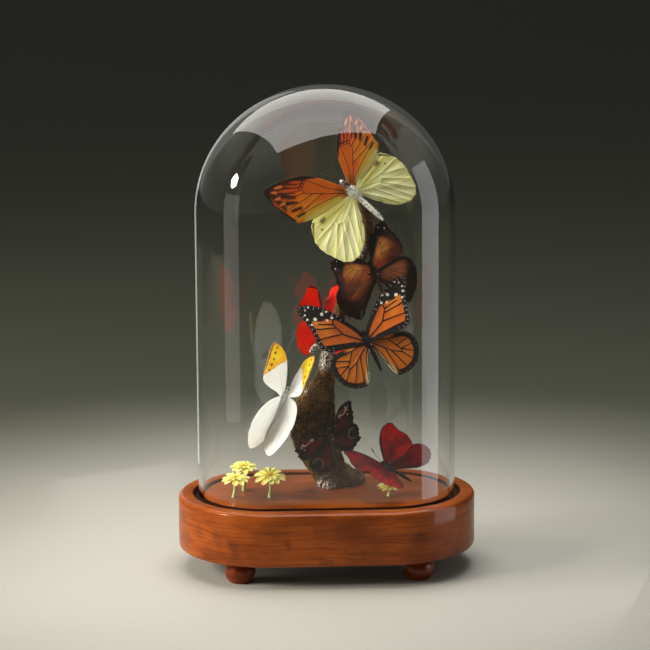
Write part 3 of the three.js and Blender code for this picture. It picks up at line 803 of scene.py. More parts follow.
orangeHind = {
    "outline": [(-2.5, -3), (2.2, -15.6), (9.4, -26.6), (17, -30.4), (27, -28), (34, -23), (38.5, -16),
        (42, -9), (42.5, -2), (39.5, 3.5), (32, 6.5), (24, 7.2), (14, 6), (5, 3.2), (-2.5, 1.5)],
    "ground": hue(226, 220, 146), "under": hue(214, 206, 132),
    "marks": [
        (hue(206, 196, 110), (4, -8, 14, -22, 3.0, 3.5, 2.5)),
        (hue(238, 234, 178), (10, 0, 34, -4, 4, 7, 4)),
        (hue(236, 232, 172), (14, -10, 30, -18, 3, 5, 4)),
        (hue(58, 46, 24), (13.2, -21.2, 14.2, -22.4, 1.5, 1.7, 1.1)),
        (hue(104, 92, 50), (19.8, -22.6, 20.2, -22.4, 0.7, 0.7, 0.6)),
        (hue(96, 80, 44), (15.5, -29.0, 27, -28.8, 0.9, 0.7, 0.6)),
        (hue(120, 100, 52), (30, -26.4, 32, -25.4, 0.7, 0.7, 0.5)),
    ],
    # lines: colour and strength of painted shade along the fine creases
    "lines": (hue(166, 154, 84), 0.55), "wavy": 0.9,
    "veinColour": hue(150, 140, 76), "veinWidth": 0.24,
    "veins": [[(-1, -1.4), (8, -13), (20, -28.6)], [(-1, -1), (9, -9), (16, -14), (28, -26.4)],
        [(16, -14), (35.5, -20.4)], [(17, -11), (39.6, -12.6)],
        [(9, -9), (14.5, -12.5), (17, -11), (16, -7), (9, -3.4), (0, -0.6)], [(16.5, -8), (41.6, -6)],
        [(15, -6.2), (41.5, 0.4)], [(9, -3.4), (37, 4.0)], [(0, 0), (29, 5.6)], [(0, 0.6), (18, 5.4)]],
    "pleat": 0.5, "crease": 0.7,
}
monarchFore = {
    "outline": [(-2.5, -2), (14, -6.5), (25, -7.8), (34, -7.4), (41, -5.8), (46, -3), (48.5, 0.5),
        (46, 3.8), (41, 6.5), (36, 9), (31.5, 12.8), (27, 16.5), (22.5, 19.5), (19.5, 20), (14, 17.5),
        (6, 10.5), (-2.5, 3)],
    "ground": hue(198, 94, 9), "under": hue(164, 72, 11), "border": (ink, 3.0, 0.5),
    "marks": [
        (hue(176, 84, 22), (2, 2, 9, 2, 3, 3, 2)),
        (hue(214, 122, 34), (24, 5, 32, 4, 3, 3, 3)),
        (ink, (4, -5.2, 24, -8.4, 1.9, 3.6, 0.4), (25, -7.6, 47, -2, 5.0, 6, 0.5),
            (33, -1.6, 45, 2.5, 4.6, 5, 0.5), (-1, 4.6, 21.5, 20.5, 1.4, 2.8, 0.4),
            (38, 6.5, 27, 16.5, 3.0, 1.8, 0.4)),
    ],
    "whites": [((34.3, 2.2), 1.25), ((31.8, -3.3), 1.15), ((29.9, -6.3), 0.7), ((26.8, -0.9), 0.75),
        ((24.7, -4.1), 0.85), ((38.9, 5.0), 0.75), ((34.6, 6.9), 0.7), ((41.6, 2.9), 0.65),
        ((42.8, -0.5), 0.6), ((42.0, -3.4), 0.6)],
    "dots": [(1.0, 3.4, 0.28, 0.0), (2.5, 6.8, 0.28, 1.7)],
    "veinColour": ink, "veinWidth": 0.62,
    "veins": [[(-1, 0.4), (8, 2.4), (13.6, 3.2), (22.3, 0.0), (24, -3.4)],
        [(13.8, 3.2), (25.5, 14.0), (28, 15.5)], [(19.4, 1.2), (28.6, 7.4), (34, 10)],
        [(22.3, 0.2), (31, 4.6)], [(3.5, 4.6), (22.6, 18.6)], [(-1, -2.2), (10, -3.6), (22, -4.4)]],
}
monarchHind = {
    "outline": [(-2.5, -2), (5, -6), (15, -14), (20, -16.3), (25, -16), (29.5, -13.5), (32.5, -9.5),
        (35, 0), (34.2, 4.8), (32.5, 8.5), (29.5, 12.3), (26, 15), (21.5, 14.5), (16, 11.5), (5, 5.5),
        (-2.5, 3)],
    "ground": hue(204, 108, 11), "under": hue(178, 90, 15),
    "border": (ink, 3.9, 0.5), "borderFrom": (14, 20),
    "marks": [
        (hue(180, 90, 24), (2, 0, 9, -1, 3, 3, 2)),
        (ink, (18.5, -17.0, 27.5, -15.5, 2.2, 4.2, 0.4), (27.5, -15.5, 36.0, -5, 4.2, 4.0, 0.4),
            (36.0, -5, 36.5, 4, 4.0, 3.9, 0.4), (36.5, 4, 28.5, 15.5, 3.9, 3.4, 0.4)),
        (hue(230, 212, 164), (2, 5.0, 22, 14.6, 1.9, 2.5, 0.8)),
    ],
    "dots": [(1.1, 4.4, 0.15, 0.0)],
    "veinColour": ink, "veinWidth": 0.5,
    "veins": [[(-1, -1.6), (10, -6.8), (20, -14)], [(10, -6.5), (17.3, -4.5), (22.5, -12.4)],
        [(17.3, -4.5), (21, -3.4), (27.4, -10.6)], [(21, -3.4), (31, -5.6)],
        [(21, -3.4), (22.6, -1.6), (31.4, 0.4)], [(22.6, -1.6), (15, 0.4), (9.6, 0.2), (-1, 0.2)],
        [(15, 0.4), (28.4, 6.6)], [(9.6, 0.2), (24.6, 11.6)], [(-1, 0.8), (8, 4.4), (21.4, 13.4)],
        [(2, 3), (16, 10.8)]],
}
leafFore = {
    "outline": [(-2.5, -1.5), (7, -7), (15, -9.5), (24, -8.5), (30, -5), (33, -2), (34, 1), (32.5, 4),
        (31, 7), (30, 12), (28, 17), (25, 21.5), (21, 23.5), (15, 20), (8, 12), (-2.5, 3)],
    "ground": hue(56, 27, 17), "under": hue(46, 26, 19),
    "border": (hue(20, 12, 12), 2.6, 1.2), "borderFrom": (15, 24), "scallop": 0.9,
    "marks": [
        (hue(178, 88, 36), (5, 3, 14, 7, 6.0, 9.4, 1.6)),
        # painted highlight: a soft bright spot near the top of the orange patch
        (hue(255, 172, 80), (11, 0.6, 17, 3.5, 3.0, 4.4, 3.6)),
        (hue(104, 50, 30), (10, 13, 19, 15, 3.4, 4.0, 4.0)),
        (hue(13, 10, 13), (0, -6.4, 24, -9, 3.4, 6.2, 1.0)),
        (hue(12, 10, 14), (29, -7, 31, 6, 8.6, 6.0, 1.4)),
        (hue(60, 34, 40), (29, 5, 26, 16, 3.0, 2.6, 2.0)),
        (hue(30, 18, 18), (30.5, 9, 24, 21, 2.2, 2.0, 1.4)),
    ],
    "whites": [((29.4, 2.4), 0.65), ((27.6, -3.4), 0.4)],
    "veinColour": hue(44, 22, 14), "veinWidth": 0.18,
    "veins": [[(-1, 0), (12, -3.4), (17, -3)], [(-1, 0.6), (12, 2.4), (17, 0.6), (17, -3)],
        [(17, -2), (32, 1)], [(17, 0.2), (31, 7)], [(14.5, 1.6), (29, 14)], [(10.5, 2.2), (25, 20)],
        [(5, 1.6), (16, 17.5)]],
}
leafHind = {
    "outline": [(-2.5, -2), (6, -9), (13, -14), (20, -15.5), (26.5, -13), (30.5, -8), (32.5, -2), (33, 4),
        (31.5, 9.5), (30, 14), (26.5, 14.5), (20, 11.5), (12, 8), (5, 5), (-2.5, 3)],
    "ground": hue(70, 36, 24), "under": hue(56, 34, 25),
    "border": (hue(26, 16, 14), 2.8, 1.6), "scallop": 0.8,
    "marks": [
        (hue(172, 98, 62), (6, -5, 17, -6, 5, 6.4, 4.0)),
        (hue(34, 20, 18), (2, 4.5, 26, 13, 1.8, 3.4, 1.6)),
        (hue(150, 122, 98), (4, 4.6, 24, 13.4, 0.4, 0.6, 0.4)),
        (hue(26, 15, 13), (29, -13, 30, 14, 8.0, 8.4, 4.0)),
    ],
    "veinColour": hue(48, 27, 19), "veinWidth": 0.18,
    "veins": [[(-1, -1), (8, -8), (19, -14.6)], [(0, -0.6), (9, -5), (28, -10)], [(9, -4.4), (31, -3.4)],
        [(8, -3), (31.6, 3)], [(0, 0), (8, -1), (30, 9.6)], [(0, 0.6), (27, 13.4)]],
}
peacockFore = {
    "outline": [(-2.5, -1.5), (6, -5), (13, -7.5), (20, -7.5), (25, -5), (28.5, -2), (29.5, 0.5), (28, 3),
        (26.5, 5), (26.8, 8), (25, 11), (23.5, 14), (20, 17), (15, 15.5), (9, 11), (4, 6), (-2.5, 2.5)],
    "ground": hue(84, 19, 18), "under": hue(28, 20, 18),
    "border": (hue(24, 18, 16), 3.2, 0.9), "scallop": 1.2,
    "marks": [
        (hue(104, 26, 21), (6, 3, 13, 7, 4, 4.6, 3)),
        (hue(30, 17, 17), (21, 0, 22, 12, 5.0, 3.6, 2.4)),
        (hue(36, 24, 24), (9.5, -5.2, 10.5, -2.6, 2.0, 2.2, 0.5)),
        (hue(222, 196, 160), (6.4, -4.6, 6.8, -2.6, 0.8, 1.0, 0.5)),
        (hue(222, 190, 150), (13.6, -6.2, 13.9, -2.6, 0.9, 1.0, 0.5)),
        (hue(150, 132, 140), (20.5, -3, 25.5, -1.4, 3.8, 2.2, 1.0)),
        (hue(222, 184, 176), (18.8, -3.2, 19.2, -3.0, 3.9, 3.9, 0.45)),
        (hue(52, 20, 22), (18.4, -3.2, 18.8, -3.0, 2.9, 2.9, 0.45)),
        (hue(140, 40, 36), (18.2, -3.0, 18.4, -2.4, 1.3, 1.5, 0.6)),
        (hue(210, 180, 176), (20.6, 3.6, 20.7, 3.6, 0.65, 0.65, 0.3)),
        (hue(196, 168, 160), (22.4, 1.4, 22.5, 1.4, 0.6, 0.6, 0.3)),
    ],
    "veinColour": hue(60, 18, 20), "veinWidth": 0.2,
    "veins": [[(-1, 0), (9, -2), (14, 0.6)], [(-1, 0.4), (10, 2.6), (14, 0.6)], [(13.4, 1.4), (25, 6.4)],
        [(11, 2.4), (23, 12)], [(7, 2), (18, 15)]],
}
peacockHind = {
    "outline": [(-2.5, -2), (5, -7), (11, -10.5), (17, -11.5), (21, -9), (23, -5), (24, -1), (26.5, 1.5),
        (24, 4), (22, 8), (18, 11), (12.5, 10.5), (7, 8), (3, 5), (-2.5, 2.5)],
    "ground": hue(54, 24, 20), "under": hue(26, 20, 18),
    "border": (hue(25, 20, 17), 3.2, 1.0), "scallop": 1.1,
    "marks": [
        (hue(96, 32, 26), (6, 1, 15, 4, 3.5, 4.5, 3)),
        (hue(122, 104, 96), (17.4, -4.4, 17.8, -4.0, 4.8, 4.8, 0.5)),
        (hue(16, 14, 20), (17.6, -4.2, 18.0, -3.6, 3.5, 3.5, 0.4)),
        (hue(30, 36, 62), (17.0, -4.8, 17.8, -5.4, 0.9, 0.8, 0.8)),
        (hue(60, 40, 34), (3, 4, 14, 9.4, 1.6, 2.4, 1.2)),
    ],
    "veinColour": hue(58, 28, 24), "veinWidth": 0.18,
    "veins": [[(-1, -1), (12, -4)], [(0, 0), (10, 0.4), (23, 2.4)], [(9, 0.4), (20, 8)],
        [(0, 0.6), (13, 9.4)]],
}
def speck(x, y, radius):
    # a stroke so short that it is a round dot
    return (x, y, x + 0.1, y + 0.1, radius, radius, 0.3)


amber, amberShade = hue(252, 200, 30), hue(120, 60, 18)
whitePaper = {
    "ground": hue(255, 255, 252), "under": hue(254, 253, 248), "glow": 1.0, "glowTint": (1.0, 1.0, 1.0),
    "dust": (0.96, 1.03),
}
whiteFore = {
    "outline": [(-2.5, -1.2), (8, -5), (17, -8), (26, -8.5), (35, -6.5), (42, -3), (45, 0), (43, 5),
        (37, 10), (31, 14), (25, 17.5), (20.5, 16.5), (13, 12), (6, 6.5), (-2.5, 1.5)],
    **whitePaper,
    "marks": [
        (hue(244, 170, 14), (34, -6, 38, 9, 9.5, 9.5, 0.6), (31, 6, 30, 14, 5.0, 3.6, 0.6)),
        # painted highlight: a soft brighter yellow in the middle of the tip
        (amber, (32, -1, 36, 4, 3.5, 3.5, 3)),
        (hue(176, 96, 36), (36, -7.4, 46.5, 0.4, 0.5, 1.5, 0.6)),
        (hue(148, 76, 30), (46.5, 0.4, 27.5, 17.4, 1.7, 0.9, 0.6)),
        # yellow crescents with a brown rim
        (amberShade, speck(42.4, 1.4, 1.1)), (amber, speck(41.6, 1.0, 1.1)),
        (amberShade, speck(39.6, 5.0, 1.2)), (amber, speck(38.8, 4.4, 1.2)),
        (amberShade, speck(35.6, 8.4, 1.2)), (amber, speck(34.8, 7.8, 1.2)),
        (amberShade, speck(31.4, 12.0, 1.2)), (amber, speck(30.7, 11.3, 1.2)),
        (hue(92, 48, 12), (39.4, -1.4, 39.6, -1.2, 0.85, 0.85, 0.3)),
        (hue(84, 40, 10), (36.6, 1.4, 36.8, 1.6, 1.0, 1.0, 0.3)),
        (hue(92, 48, 12), (33.2, 4.2, 33.4, 4.4, 0.95, 0.95, 0.3)),
        (hue(84, 40, 10), (30.2, 7.0, 30.4, 7.2, 1.0, 1.0, 0.3)),
        (hue(92, 48, 12), (27.4, 10.2, 27.6, 10.3, 0.85, 0.85, 0.3)),
        (hue(214, 150, 40), (24.6, -6, 26.6, 9, 0.35, 0.35, 0.4)),
        (hue(104, 54, 30), (44.5, -1.6, 46, 0.4, 1.5, 1.7, 0.8)),
    ],
    "veinColour": hue(222, 170, 60), "veinWidth": 0.14,
    "veins": [[(22, -6.4), (39, -4)], [(26, -3), (42.6, 1.0)], [(26.5, 1), (38, 8.4)], [(27, 6), (31, 13)],
        [(-1, 0.2), (12, 0.6), (20, 0.6)]],
}
whiteHind = {
    "outline": [(-3, -3.5), (1, -12), (7, -19), (15, -22), (23, -20.6), (29.5, -16.5), (34, -11),
        (37.4, -4.5), (39.6, 2.5), (39.6, 9.5), (36, 15.5), (29, 20.5), (20, 21.5), (10, 17), (0.5, 9),
        (-3, 3)],
    **whitePaper,
    "marks": [
        (hue(240, 240, 230), (4, 2, 22, 9, 2.2, 3.0, 2.0)),
        (hue(240, 240, 228), (2, -6, 14, -18, 1.6, 2.4, 1.6)),
    ],
    "veinColour": hue(236, 234, 222), "veinWidth": 0.14,
    "veins": [[(-1, -1.4), (8, -10), (18, -19.6)], [(0, -1), (9, -7), (28, -18)],
        [(14, -9.6), (34.6, -11.6)], [(14.6, -6.4), (37.4, -4)], [(13, -4), (37, 2.4)],
        [(0, -0.4), (8, -2), (33, 9)], [(0, 0), (24, 12.6)]],
    "pleat": 0.4,
}


def redWing(bright, dull, edge, tip, glow):
    fore = {
        "outline": [(-2.5, -1.5), (7, -6.5), (15, -9), (23, -8.5), (29, -5.5), (32, -2), (32.5, 1.5),
            (30.5, 5), (29, 9), (28.5, 13), (26, 17), (22, 19.5), (16, 17), (9, 11), (4, 6), (-2.5, 2.5)],
        "ground": bright, "under": dull, "border": (edge, 0.55, 0.4), "scallop": 0.3, "glow": glow,
        "marks": [
            (dull, (2, 1, 14, 3, 4, 4, 4), (20, 8, 24, 14, 3, 4, 4)),
            (edge, (1, -3.6, 23, -9.6, 0.7, 1.2, 0.5), (23, -9.6, 31.5, -5.2, 1.3, 1.8 + tip, 0.6),
                (31.5, -5.2, 34, 2, 1.8 + tip, 0.8, 0.6))],
        "veinColour": dull, "veinWidth": 0.3,
        "veins": [[(-1, -0.6), (9, -3), (16, -5)], [(-1, 0.2), (9, 1.6), (16, 0), (16, -5)],
            [(16, -4), (29, -3)], [(16, -1.6), (31, 2)], [(15, 0.4), (28.4, 8)], [(11, 1.4), (25.6, 15.6)],
            [(6, 1.2), (18, 16.4)]],
    }
    hind = {
        "outline": [(-2.5, -2), (6, -8), (12, -13), (19, -15.5), (25, -14), (29, -9.5), (31, -4), (31, 2),
            (29, 8), (25, 12), (19, 12.5), (12, 9.5), (6, 6.5), (-2.5, 3)],
        "ground": bright, "under": dull, "border": (edge, 0.5, 0.4), "scallop": 0.5, "glow": glow,
        "marks": [(dull, (3, -2, 12, -3, 4, 5, 4), (4, 4, 18, 10, 1.6, 2.6, 2.0))],
        "veinColour": dull, "veinWidth": 0.28,
        "veins": [[(-1, -1.4), (8, -9), (18, -14.6)], [(0, -1), (9, -6), (26, -12)],
            [(10, -5), (29.4, -5.4)], [(9.6, -3.4), (29.8, 1)], [(0, -0.4), (8, -1.6), (26.6, 8)],
            [(0, 0.4), (20, 11.4)]],
    }
    return fore, hind


redHighFore, redHighHind = redWing(hue(244, 38, 24), hue(226, 20, 16), hue(44, 14, 12), 1.2, 0.7)
# the low glider wears the same pattern in darker reds: partly its own duller colour, partly painted shade
redLowFore, redLowHind = redWing(hue(160, 6, 12), hue(92, 4, 9), hue(30, 8, 8), 0.0, 0.15)


def segmentsOf(lines):
    return [(a, b) for line in lines for a, b in zip(line, line[1:])]


def nearLines(spots, segments):
    # distance from each point to the nearest of the segments, and how far round the nearest lies
    starts = np.array([a for a, b in segments], float)
    steps = np.array([b for a, b in segments], float) - starts
    lengths = np.maximum((steps**2).sum(1), 1e-9)
    away = spots[:, None, :] - starts[None]
    share = np.clip((away * steps[None]).sum(2) / lengths, 0, 1)
    gaps = np.linalg.norm(away - share[..., None] * steps[None], axis=2)
    best = gaps.argmin(1)
    rows = np.arange(len(spots))
    reach = np.concatenate([[0], np.cumsum(np.sqrt(lengths))])[:-1]
    return gaps[rows, best], reach[best] + share[rows, best] * np.sqrt(lengths)[best]


def insideOf(spots, ring):
    # which points lie inside the ring
    x, y = spots[:, 0][:, None], spots[:, 1][:, None]
    x0, y0 = ring[:, 0][None], ring[:, 1][None]
    x1, y1 = np.roll(ring[:, 0], -1)[None], np.roll(ring[:, 1], -1)[None]
    crosses = ((y0 > y) != (y1 > y)) & (x < (x1 - x0) * (y - y0) / np.where(y1 == y0, 1e-9, y1 - y0) + x0)
    return crosses.sum(1) % 2 == 1


wingSheet = {
    "gap": 0.95, "rowGap": 0.87, "rimPoints": 150, "thickness": 0.22, "pleat": 0.28, "camber": 0.0035,
    "scallopPoints": 7.5,
}


def wingRim(wing):
    # the outline as a ring of points, with its scallops or its waves
    path = [(along, back, 0) for along, back in wing["outline"]]
    ring = np.array([p[:2] for p in curvePoints(path, wingSheet["rimPoints"], True)])
    outward = ring - ring.mean(0)
    reach = np.zeros(len(ring))
    if "scallop" in wing:
        outer = np.clip((outward[:, 0] + 0.5 * outward[:, 1]) / 8, 0, 1)
        wave = np.abs(np.sin(np.arange(len(ring)) * math.pi / wingSheet["scallopPoints"]))
        reach = -wing["scallop"] * outer * (1 - wave)
    if "wavy" in wing:
        outer = np.clip(ring[:, 0] / 10, 0, 1)
        wave = np.array([noise.noise((x * 0.22, y * 0.22, 5.0)) + 0.5 * noise.noise((x * 0.6, y * 0.6, 9.0))
                         for x, y in ring])
        reach = wing["wavy"] * outer * wave
    return ring + outward / np.linalg.norm(outward, axis=1)[:, None] * reach[:, None]


def wingMesh(wing):
    # a flat net over the wing with its edges along the rim and the veins, and how high it rises
    ring = wingRim(wing)
    loop = [(tuple(a), tuple(b)) for a, b in zip(ring, np.roll(ring, -1, 0))]
    veins = segmentsOf(wing["veins"])
    gap = wingSheet["gap"]
    ribs = []
    for a, b in np.array(veins, float):
        steps = max(2, int(np.linalg.norm(b - a) / gap))
        ribs.append(a + (b - a) * (np.arange(steps + 1) / steps)[:, None])
    rows = []
    low, high = ring.min(0), ring.max(0)
    for k, y in enumerate(np.arange(low[1], high[1], gap * wingSheet["rowGap"])):
        xs = np.arange(low[0] + (k % 2) * gap / 2, high[0], gap)
        rows.append(np.stack([xs, np.full(len(xs), y)], 1))
    net = np.concatenate(rows)
    net = net[nearLines(net, veins)[0] > gap * 0.5]
    spots = np.concatenate([np.unique(np.round(np.concatenate(ribs), 3), axis=0), net])
    spots = spots[insideOf(spots, ring) & (nearLines(spots, loop)[0] > gap * 0.4)]
    spots = np.concatenate([ring, spots])
    edges = [(i, (i + 1) % len(ring)) for i in range(len(ring))]
    flat, _, faces, *_ = delaunay_2d_cdt([Vector(p) for p in spots], edges, [], 1, 1e-4)
    flat = np.array([tuple(p) for p in flat])
    faces = [tuple(face) for face in faces if len(face) == 3]
    rim, arc = nearLines(flat, loop)
    vein = nearLines(flat, veins)[0]
    along, back = flat[:, 0], flat[:, 1]
    sag = np.clip(vein / 2.2, 0, 1) ** 0.8
    rise = -wing.get("pleat", wingSheet["pleat"]) * sag * np.clip(rim / 2, 0.25, 1)
    rise = rise + 0.16 * np.exp(-((vein / 0.5) ** 2))
    rise = rise - wingSheet["camber"] * (along ** 2) * 0.35 - 0.004 * (back ** 2) * 0.4
    ripple = np.array([noise.noise((x * 0.09, y * 0.09, 3.0 + len(faces) % 7)) for x, y in flat])
    turn = np.arctan2(back, along + 5)
    fan = np.array([noise.noise((t * 9, r * 0.03, 1.5)) for t, r in zip(turn, np.hypot(along, back))])
    reach = np.clip(along / 14, 0, 1)
    return flat, faces, rim, arc, rise + (0.5 * ripple + wing.get("crease", 0.25) * fan) * reach


def pairsOf(face):
    # a face's edges, in order
    return list(zip(face, face[1:] + face[:1]))


def addWing(shape, layers, wing, slot, side, root, turn, size):
    flat, faces, rim, arc, rise = wingMesh(wing)
    spin = Euler([math.radians(a) for a in turn], "ZYX").to_matrix()
    # the rim is thinner than the middle of the sheet
    half = wingSheet["thickness"] / 2 * np.clip(0.35 + rim, 0.35, 1)
    uses = Counter(tuple(sorted(pair)) for face in faces for pair in pairsOf(face))
    points, plan, edge = [], [], []
    for layer in (1, -1):
        for i, (x, y) in enumerate(flat):
            spot = Vector((x * size, -side * y * size, rise[i] + layer * half[i]))
            points.append(root + spin @ spot)
            plan.append((x, y, 0.0))
            edge.append((rim[i], arc[i], 0.0 if layer > 0 else 1.0))
    total = len(flat)
    skinFaces = []
    for face in faces:
        top = face if side < 0 else face[::-1]
        skinFaces.append(top)
        skinFaces.append(tuple(i + total for i in reversed(top)))
        for p, q in pairsOf(top):
            if uses[tuple(sorted((p, q)))] == 1:
                skinFaces.append((q, p, p + total, q + total))
    shape.add(points, skinFaces, slot)
    layers["plan"].extend(plan)
    layers["rim"].extend(edge)


def wingMaterial(name, wing):
    material, tree, shader = surface(name, **{
        "Roughness": 0.62, "Specular IOR Level": 0.12, "Subsurface Weight": wing.get("glow", 0.35),
        "Subsurface Radius": wing.get("glowTint", (1.0, 0.75, 0.5)), "Subsurface Scale": 0.0012})
    plan, rim = stored(tree, "plan"), stored(tree, "rim")
    inward, _, under = parted(tree, rim)
    along, back, _ = parted(tree, plan)
    level = (1.0, 1.0, 0.0)
    ragged = node(tree, "ShaderNodeTexNoise", {"Vector": plan, "Scale": 0.8, "Detail": 3.0}).outputs["Color"]
    shift = scaled(tree, vectors(tree, "SUBTRACT", ragged, (0.5, 0.5, 0.5)), 0.9)
    place = vectors(tree, "MULTIPLY", vectors(tree, "ADD", plan, shift), level)
    smooth = vectors(tree, "MULTIPLY", plan, level)
    scales = speckle(tree, plan, 5.0, 2.0, 0.7)
    broad = speckle(tree, plan, 0.35, 3.0, 0.6)
    colour = wash(tree, wing["ground"], wing["under"], broad, 0.3, 0.7, 0.0, 0.22)

    def marked(colour, marks):
        for tint, *strokes in marks:
            for x0, y0, x1, y1, first, last, soft in strokes:
                mask = stroke(tree, place, (x0, y0, 0), (x1, y1, 0), first, last, soft)
                colour = blendColour(tree, mask, colour, tint)
        return colour

    colour = marked(colour, [mark for mark in wing["marks"] if mark[0] is not ink])
    # painted shade along the fine creases that fan from the root
    if "lines" in wing:
        tint, share = wing["lines"]
        creaseShade = useGroup(tree, pleatLines, Place=plan)[0]
        colour = blendColour(tree, sums(tree, "MULTIPLY", creaseShade, share), colour, tint)
    lines = 0.0
    width = wing["veinWidth"]
    for a, b in segmentsOf(wing["veins"]):
        line = stroke(tree, smooth, (*a, 0), (*b, 0), width, width * 0.75, 0.18)
        lines = sums(tree, "MAXIMUM", lines, line)
    colour = blendColour(tree, lines, colour, wing["veinColour"])
    colour = marked(colour, [mark for mark in wing["marks"] if mark[0] is ink])
    if "border" in wing:
        tint, width, soft = wing["border"]
        uneven = sums(tree, "ADD", inward, sums(tree, "MULTIPLY", broad, -0.6))
        outward = sums(tree, "SUBTRACT", along, sums(tree, "MULTIPLY", back, 0.5))
        share = sums(tree, "MULTIPLY", span(tree, uneven, width - soft - 0.3, width + soft - 0.3, 1.0, 0.0),
                     span(tree, outward, *wing.get("borderFrom", (-30, -20))))
        colour = blendColour(tree, share, colour, tint)
    whites = [(x, y, x, y, radius, radius, 0.3) for (x, y), radius in wing.get("whites", [])]
    colour = marked(colour, [(hue(238, 232, 222), *whites)])
    for inset, pitch, radius, offset in wing.get("dots", []):
        mask = useGroup(tree, rimDots, Rim=rim, Inset=inset, Pitch=pitch, Radius=radius, Shift=offset)[0]
        mask = sums(tree, "MULTIPLY", mask, span(tree, along, 12.0, 18.0))
        colour = blendColour(tree, mask, colour, hue(236, 230, 220))
    colour = blendColour(tree, sums(tree, "MULTIPLY", under, 0.6), colour, wing["under"])
    dust = span(tree, scales, 0.3, 0.7, *wing.get("dust", (0.84, 1.1)), smooth=False)
    grey = node(tree, "ShaderNodeCombineColor", {0: dust, 1: dust, 2: dust}).outputs[0]
    colour = blendColour(tree, 1.0, colour, grey, "MULTIPLY")
    paint(tree, shader, colour, span(tree, scales, 0.3, 0.7, 0.52, 0.75))
    relief(tree, shader, sums(tree, "ADD", scales, sums(tree, "MULTIPLY", lines, 1.5)), 0.35, 0.00012)
    return material


# ---- butterflies

# at: the middle of the thorax. tail and back: ways. roots: wing roots aside, ahead and behind.
# head and end: reach forwards and back. spread: turns and size of the fore wings, right and left,
# then of the hind wings.
butterflies = {
    "orange_tip": {
        "fore": orangeFore, "hind": orangeHind, "at": (19, -7, 266.5), "tail": (0.73, -0.17, -0.66),
        "back": (-0.01, -0.97, 0.24), "roots": (3, 3, 3), "pinTo": (25, 2.5, 258.5),
        "head": 12.5, "end": 27, "girth": 1.15, "antenna": 14,
        "spread": [(80, 24, 91, 1), (108, 9, 175, 1.09), (66, 13, 0, 0.97), (71, -17, -91, 1.01)],
        "darkHead": True, "speckled": 0.13, "fur": hue(255, 253, 236), "fleck": hue(48, 42, 36),
        "hairs": 1100, "hairLength": 3.0,
    },
    "leafwing": {
        "fore": leafFore, "hind": leafHind, "at": (33.5, -3.6, 210.2), "tail": (0.38, -0.21, -0.9),
        "back": (0.32, -0.88, 0.34), "roots": (2, 3, 3), "pinTo": (24.5, 8, 213),
        "head": 9, "end": 16, "girth": 1, "antenna": 14,
        "spread": [(73, 40, 73, 1.03), (59, 31, -176, 0.96), (86, 29, -12, 1.05), (102, 17, -131, 1)],
        "fur": hue(48, 32, 25), "fleck": hue(24, 18, 16), "hairs": 500, "hairLength": 1.4,
    },
    "monarch": {
        "fore": monarchFore, "hind": monarchHind, "at": (28, -16, 164), "tail": (0.42, -0.3, -0.86),
        "back": (0.14, -0.91, 0.39), "roots": (2.5, 2.5, 2), "pinTo": (10, 5.5, 174),
        "head": 8.5, "end": 22, "girth": 1, "antenna": 14,
        "spread": [(63, -18, 59, 1.01), (56, 14, 155, 1.04), (67, 6, -20, 0.97), (58, 16, -119, 0.97)],
        "fur": hue(12, 10, 11), "fleck": hue(38, 33, 32), "hairs": 450, "hairLength": 1.0,
    },
    "red_glider_high": {
        "fore": redHighFore, "hind": redHighHind, "at": (-1.4, 32, 168.6), "tail": (-0.08, -0.1, -0.99),
        "back": (0.01, -0.99, 0.1), "roots": (1.5, 2, 2), "pinTo": (6.5, 7, 167),
        "head": 7, "end": 14, "girth": 0.85, "antenna": 12,
        "spread": [(69, -58, 47, 0.92), (99, 52, 115, 0.92), (89, -55, -28, 0.91), (84, 53, -149, 0.91)],
        "fur": hue(60, 40, 30), "fleck": hue(30, 22, 20), "hairs": 400, "hairLength": 1.2,
    },
    "yellow_tip": {
        "fore": whiteFore, "hind": whiteHind, "at": (-30, -7, 122.5), "tail": (-0.38, -0.07, -0.92),
        "back": (-0.05, -0.99, 0.1), "roots": (1.5, 3, 2.5), "pinTo": (-9, 5, 117),
        "head": 9, "end": 23, "girth": 0.8, "antenna": 16,
        "spread": [(27, -69, -10, 1.01), (109, 49, 98, 0.98), (30, -58, -116, 0.96), (130, 51, -152, 0.97)],
        "fur": hue(255, 255, 250), "fleck": hue(204, 206, 188), "hairs": 450, "hairLength": 1.8,
    },
    "peacock": {
        "fore": peacockFore, "hind": peacockHind, "at": (2, -19, 96), "tail": (0.19, -0.11, -0.98),
        "back": (0.48, -0.85, 0.19), "roots": (1.5, 2, 2), "pinTo": (-7, 4, 93),
        "head": 7.5, "end": 14, "girth": 0.9, "antenna": 13,
        "spread": [(99, 52, 36, 1.03), (121, 30, -179, 0.92), (106, 31, -10, 0.97), (100, 27, -107, 0.98)],
        "fur": hue(72, 48, 36), "fleck": hue(38, 26, 22), "hairs": 450, "hairLength": 1.3,
    },
    "red_glider_low": {
        "fore": redLowFore, "hind": redLowHind, "at": (43, -14, 73.5), "tail": (0.84, -0.24, -0.48),
        "back": (0.21, -0.68, 0.7), "roots": (2, 2, 2), "pinTo": (42.2, -17.4, 61),
        "head": 7, "end": 18, "girth": 0.9, "antenna": 12,
        "spread": [(101, -41, 88, 0.97), (13, 27, -179, 0.98), (123, 10, 19, 0.91), (6, 24, -98, 0.93)],
        "fur": hue(34, 25, 23), "fleck": hue(20, 17, 18), "hairs": 400, "hairLength": 1.2,
    },
}


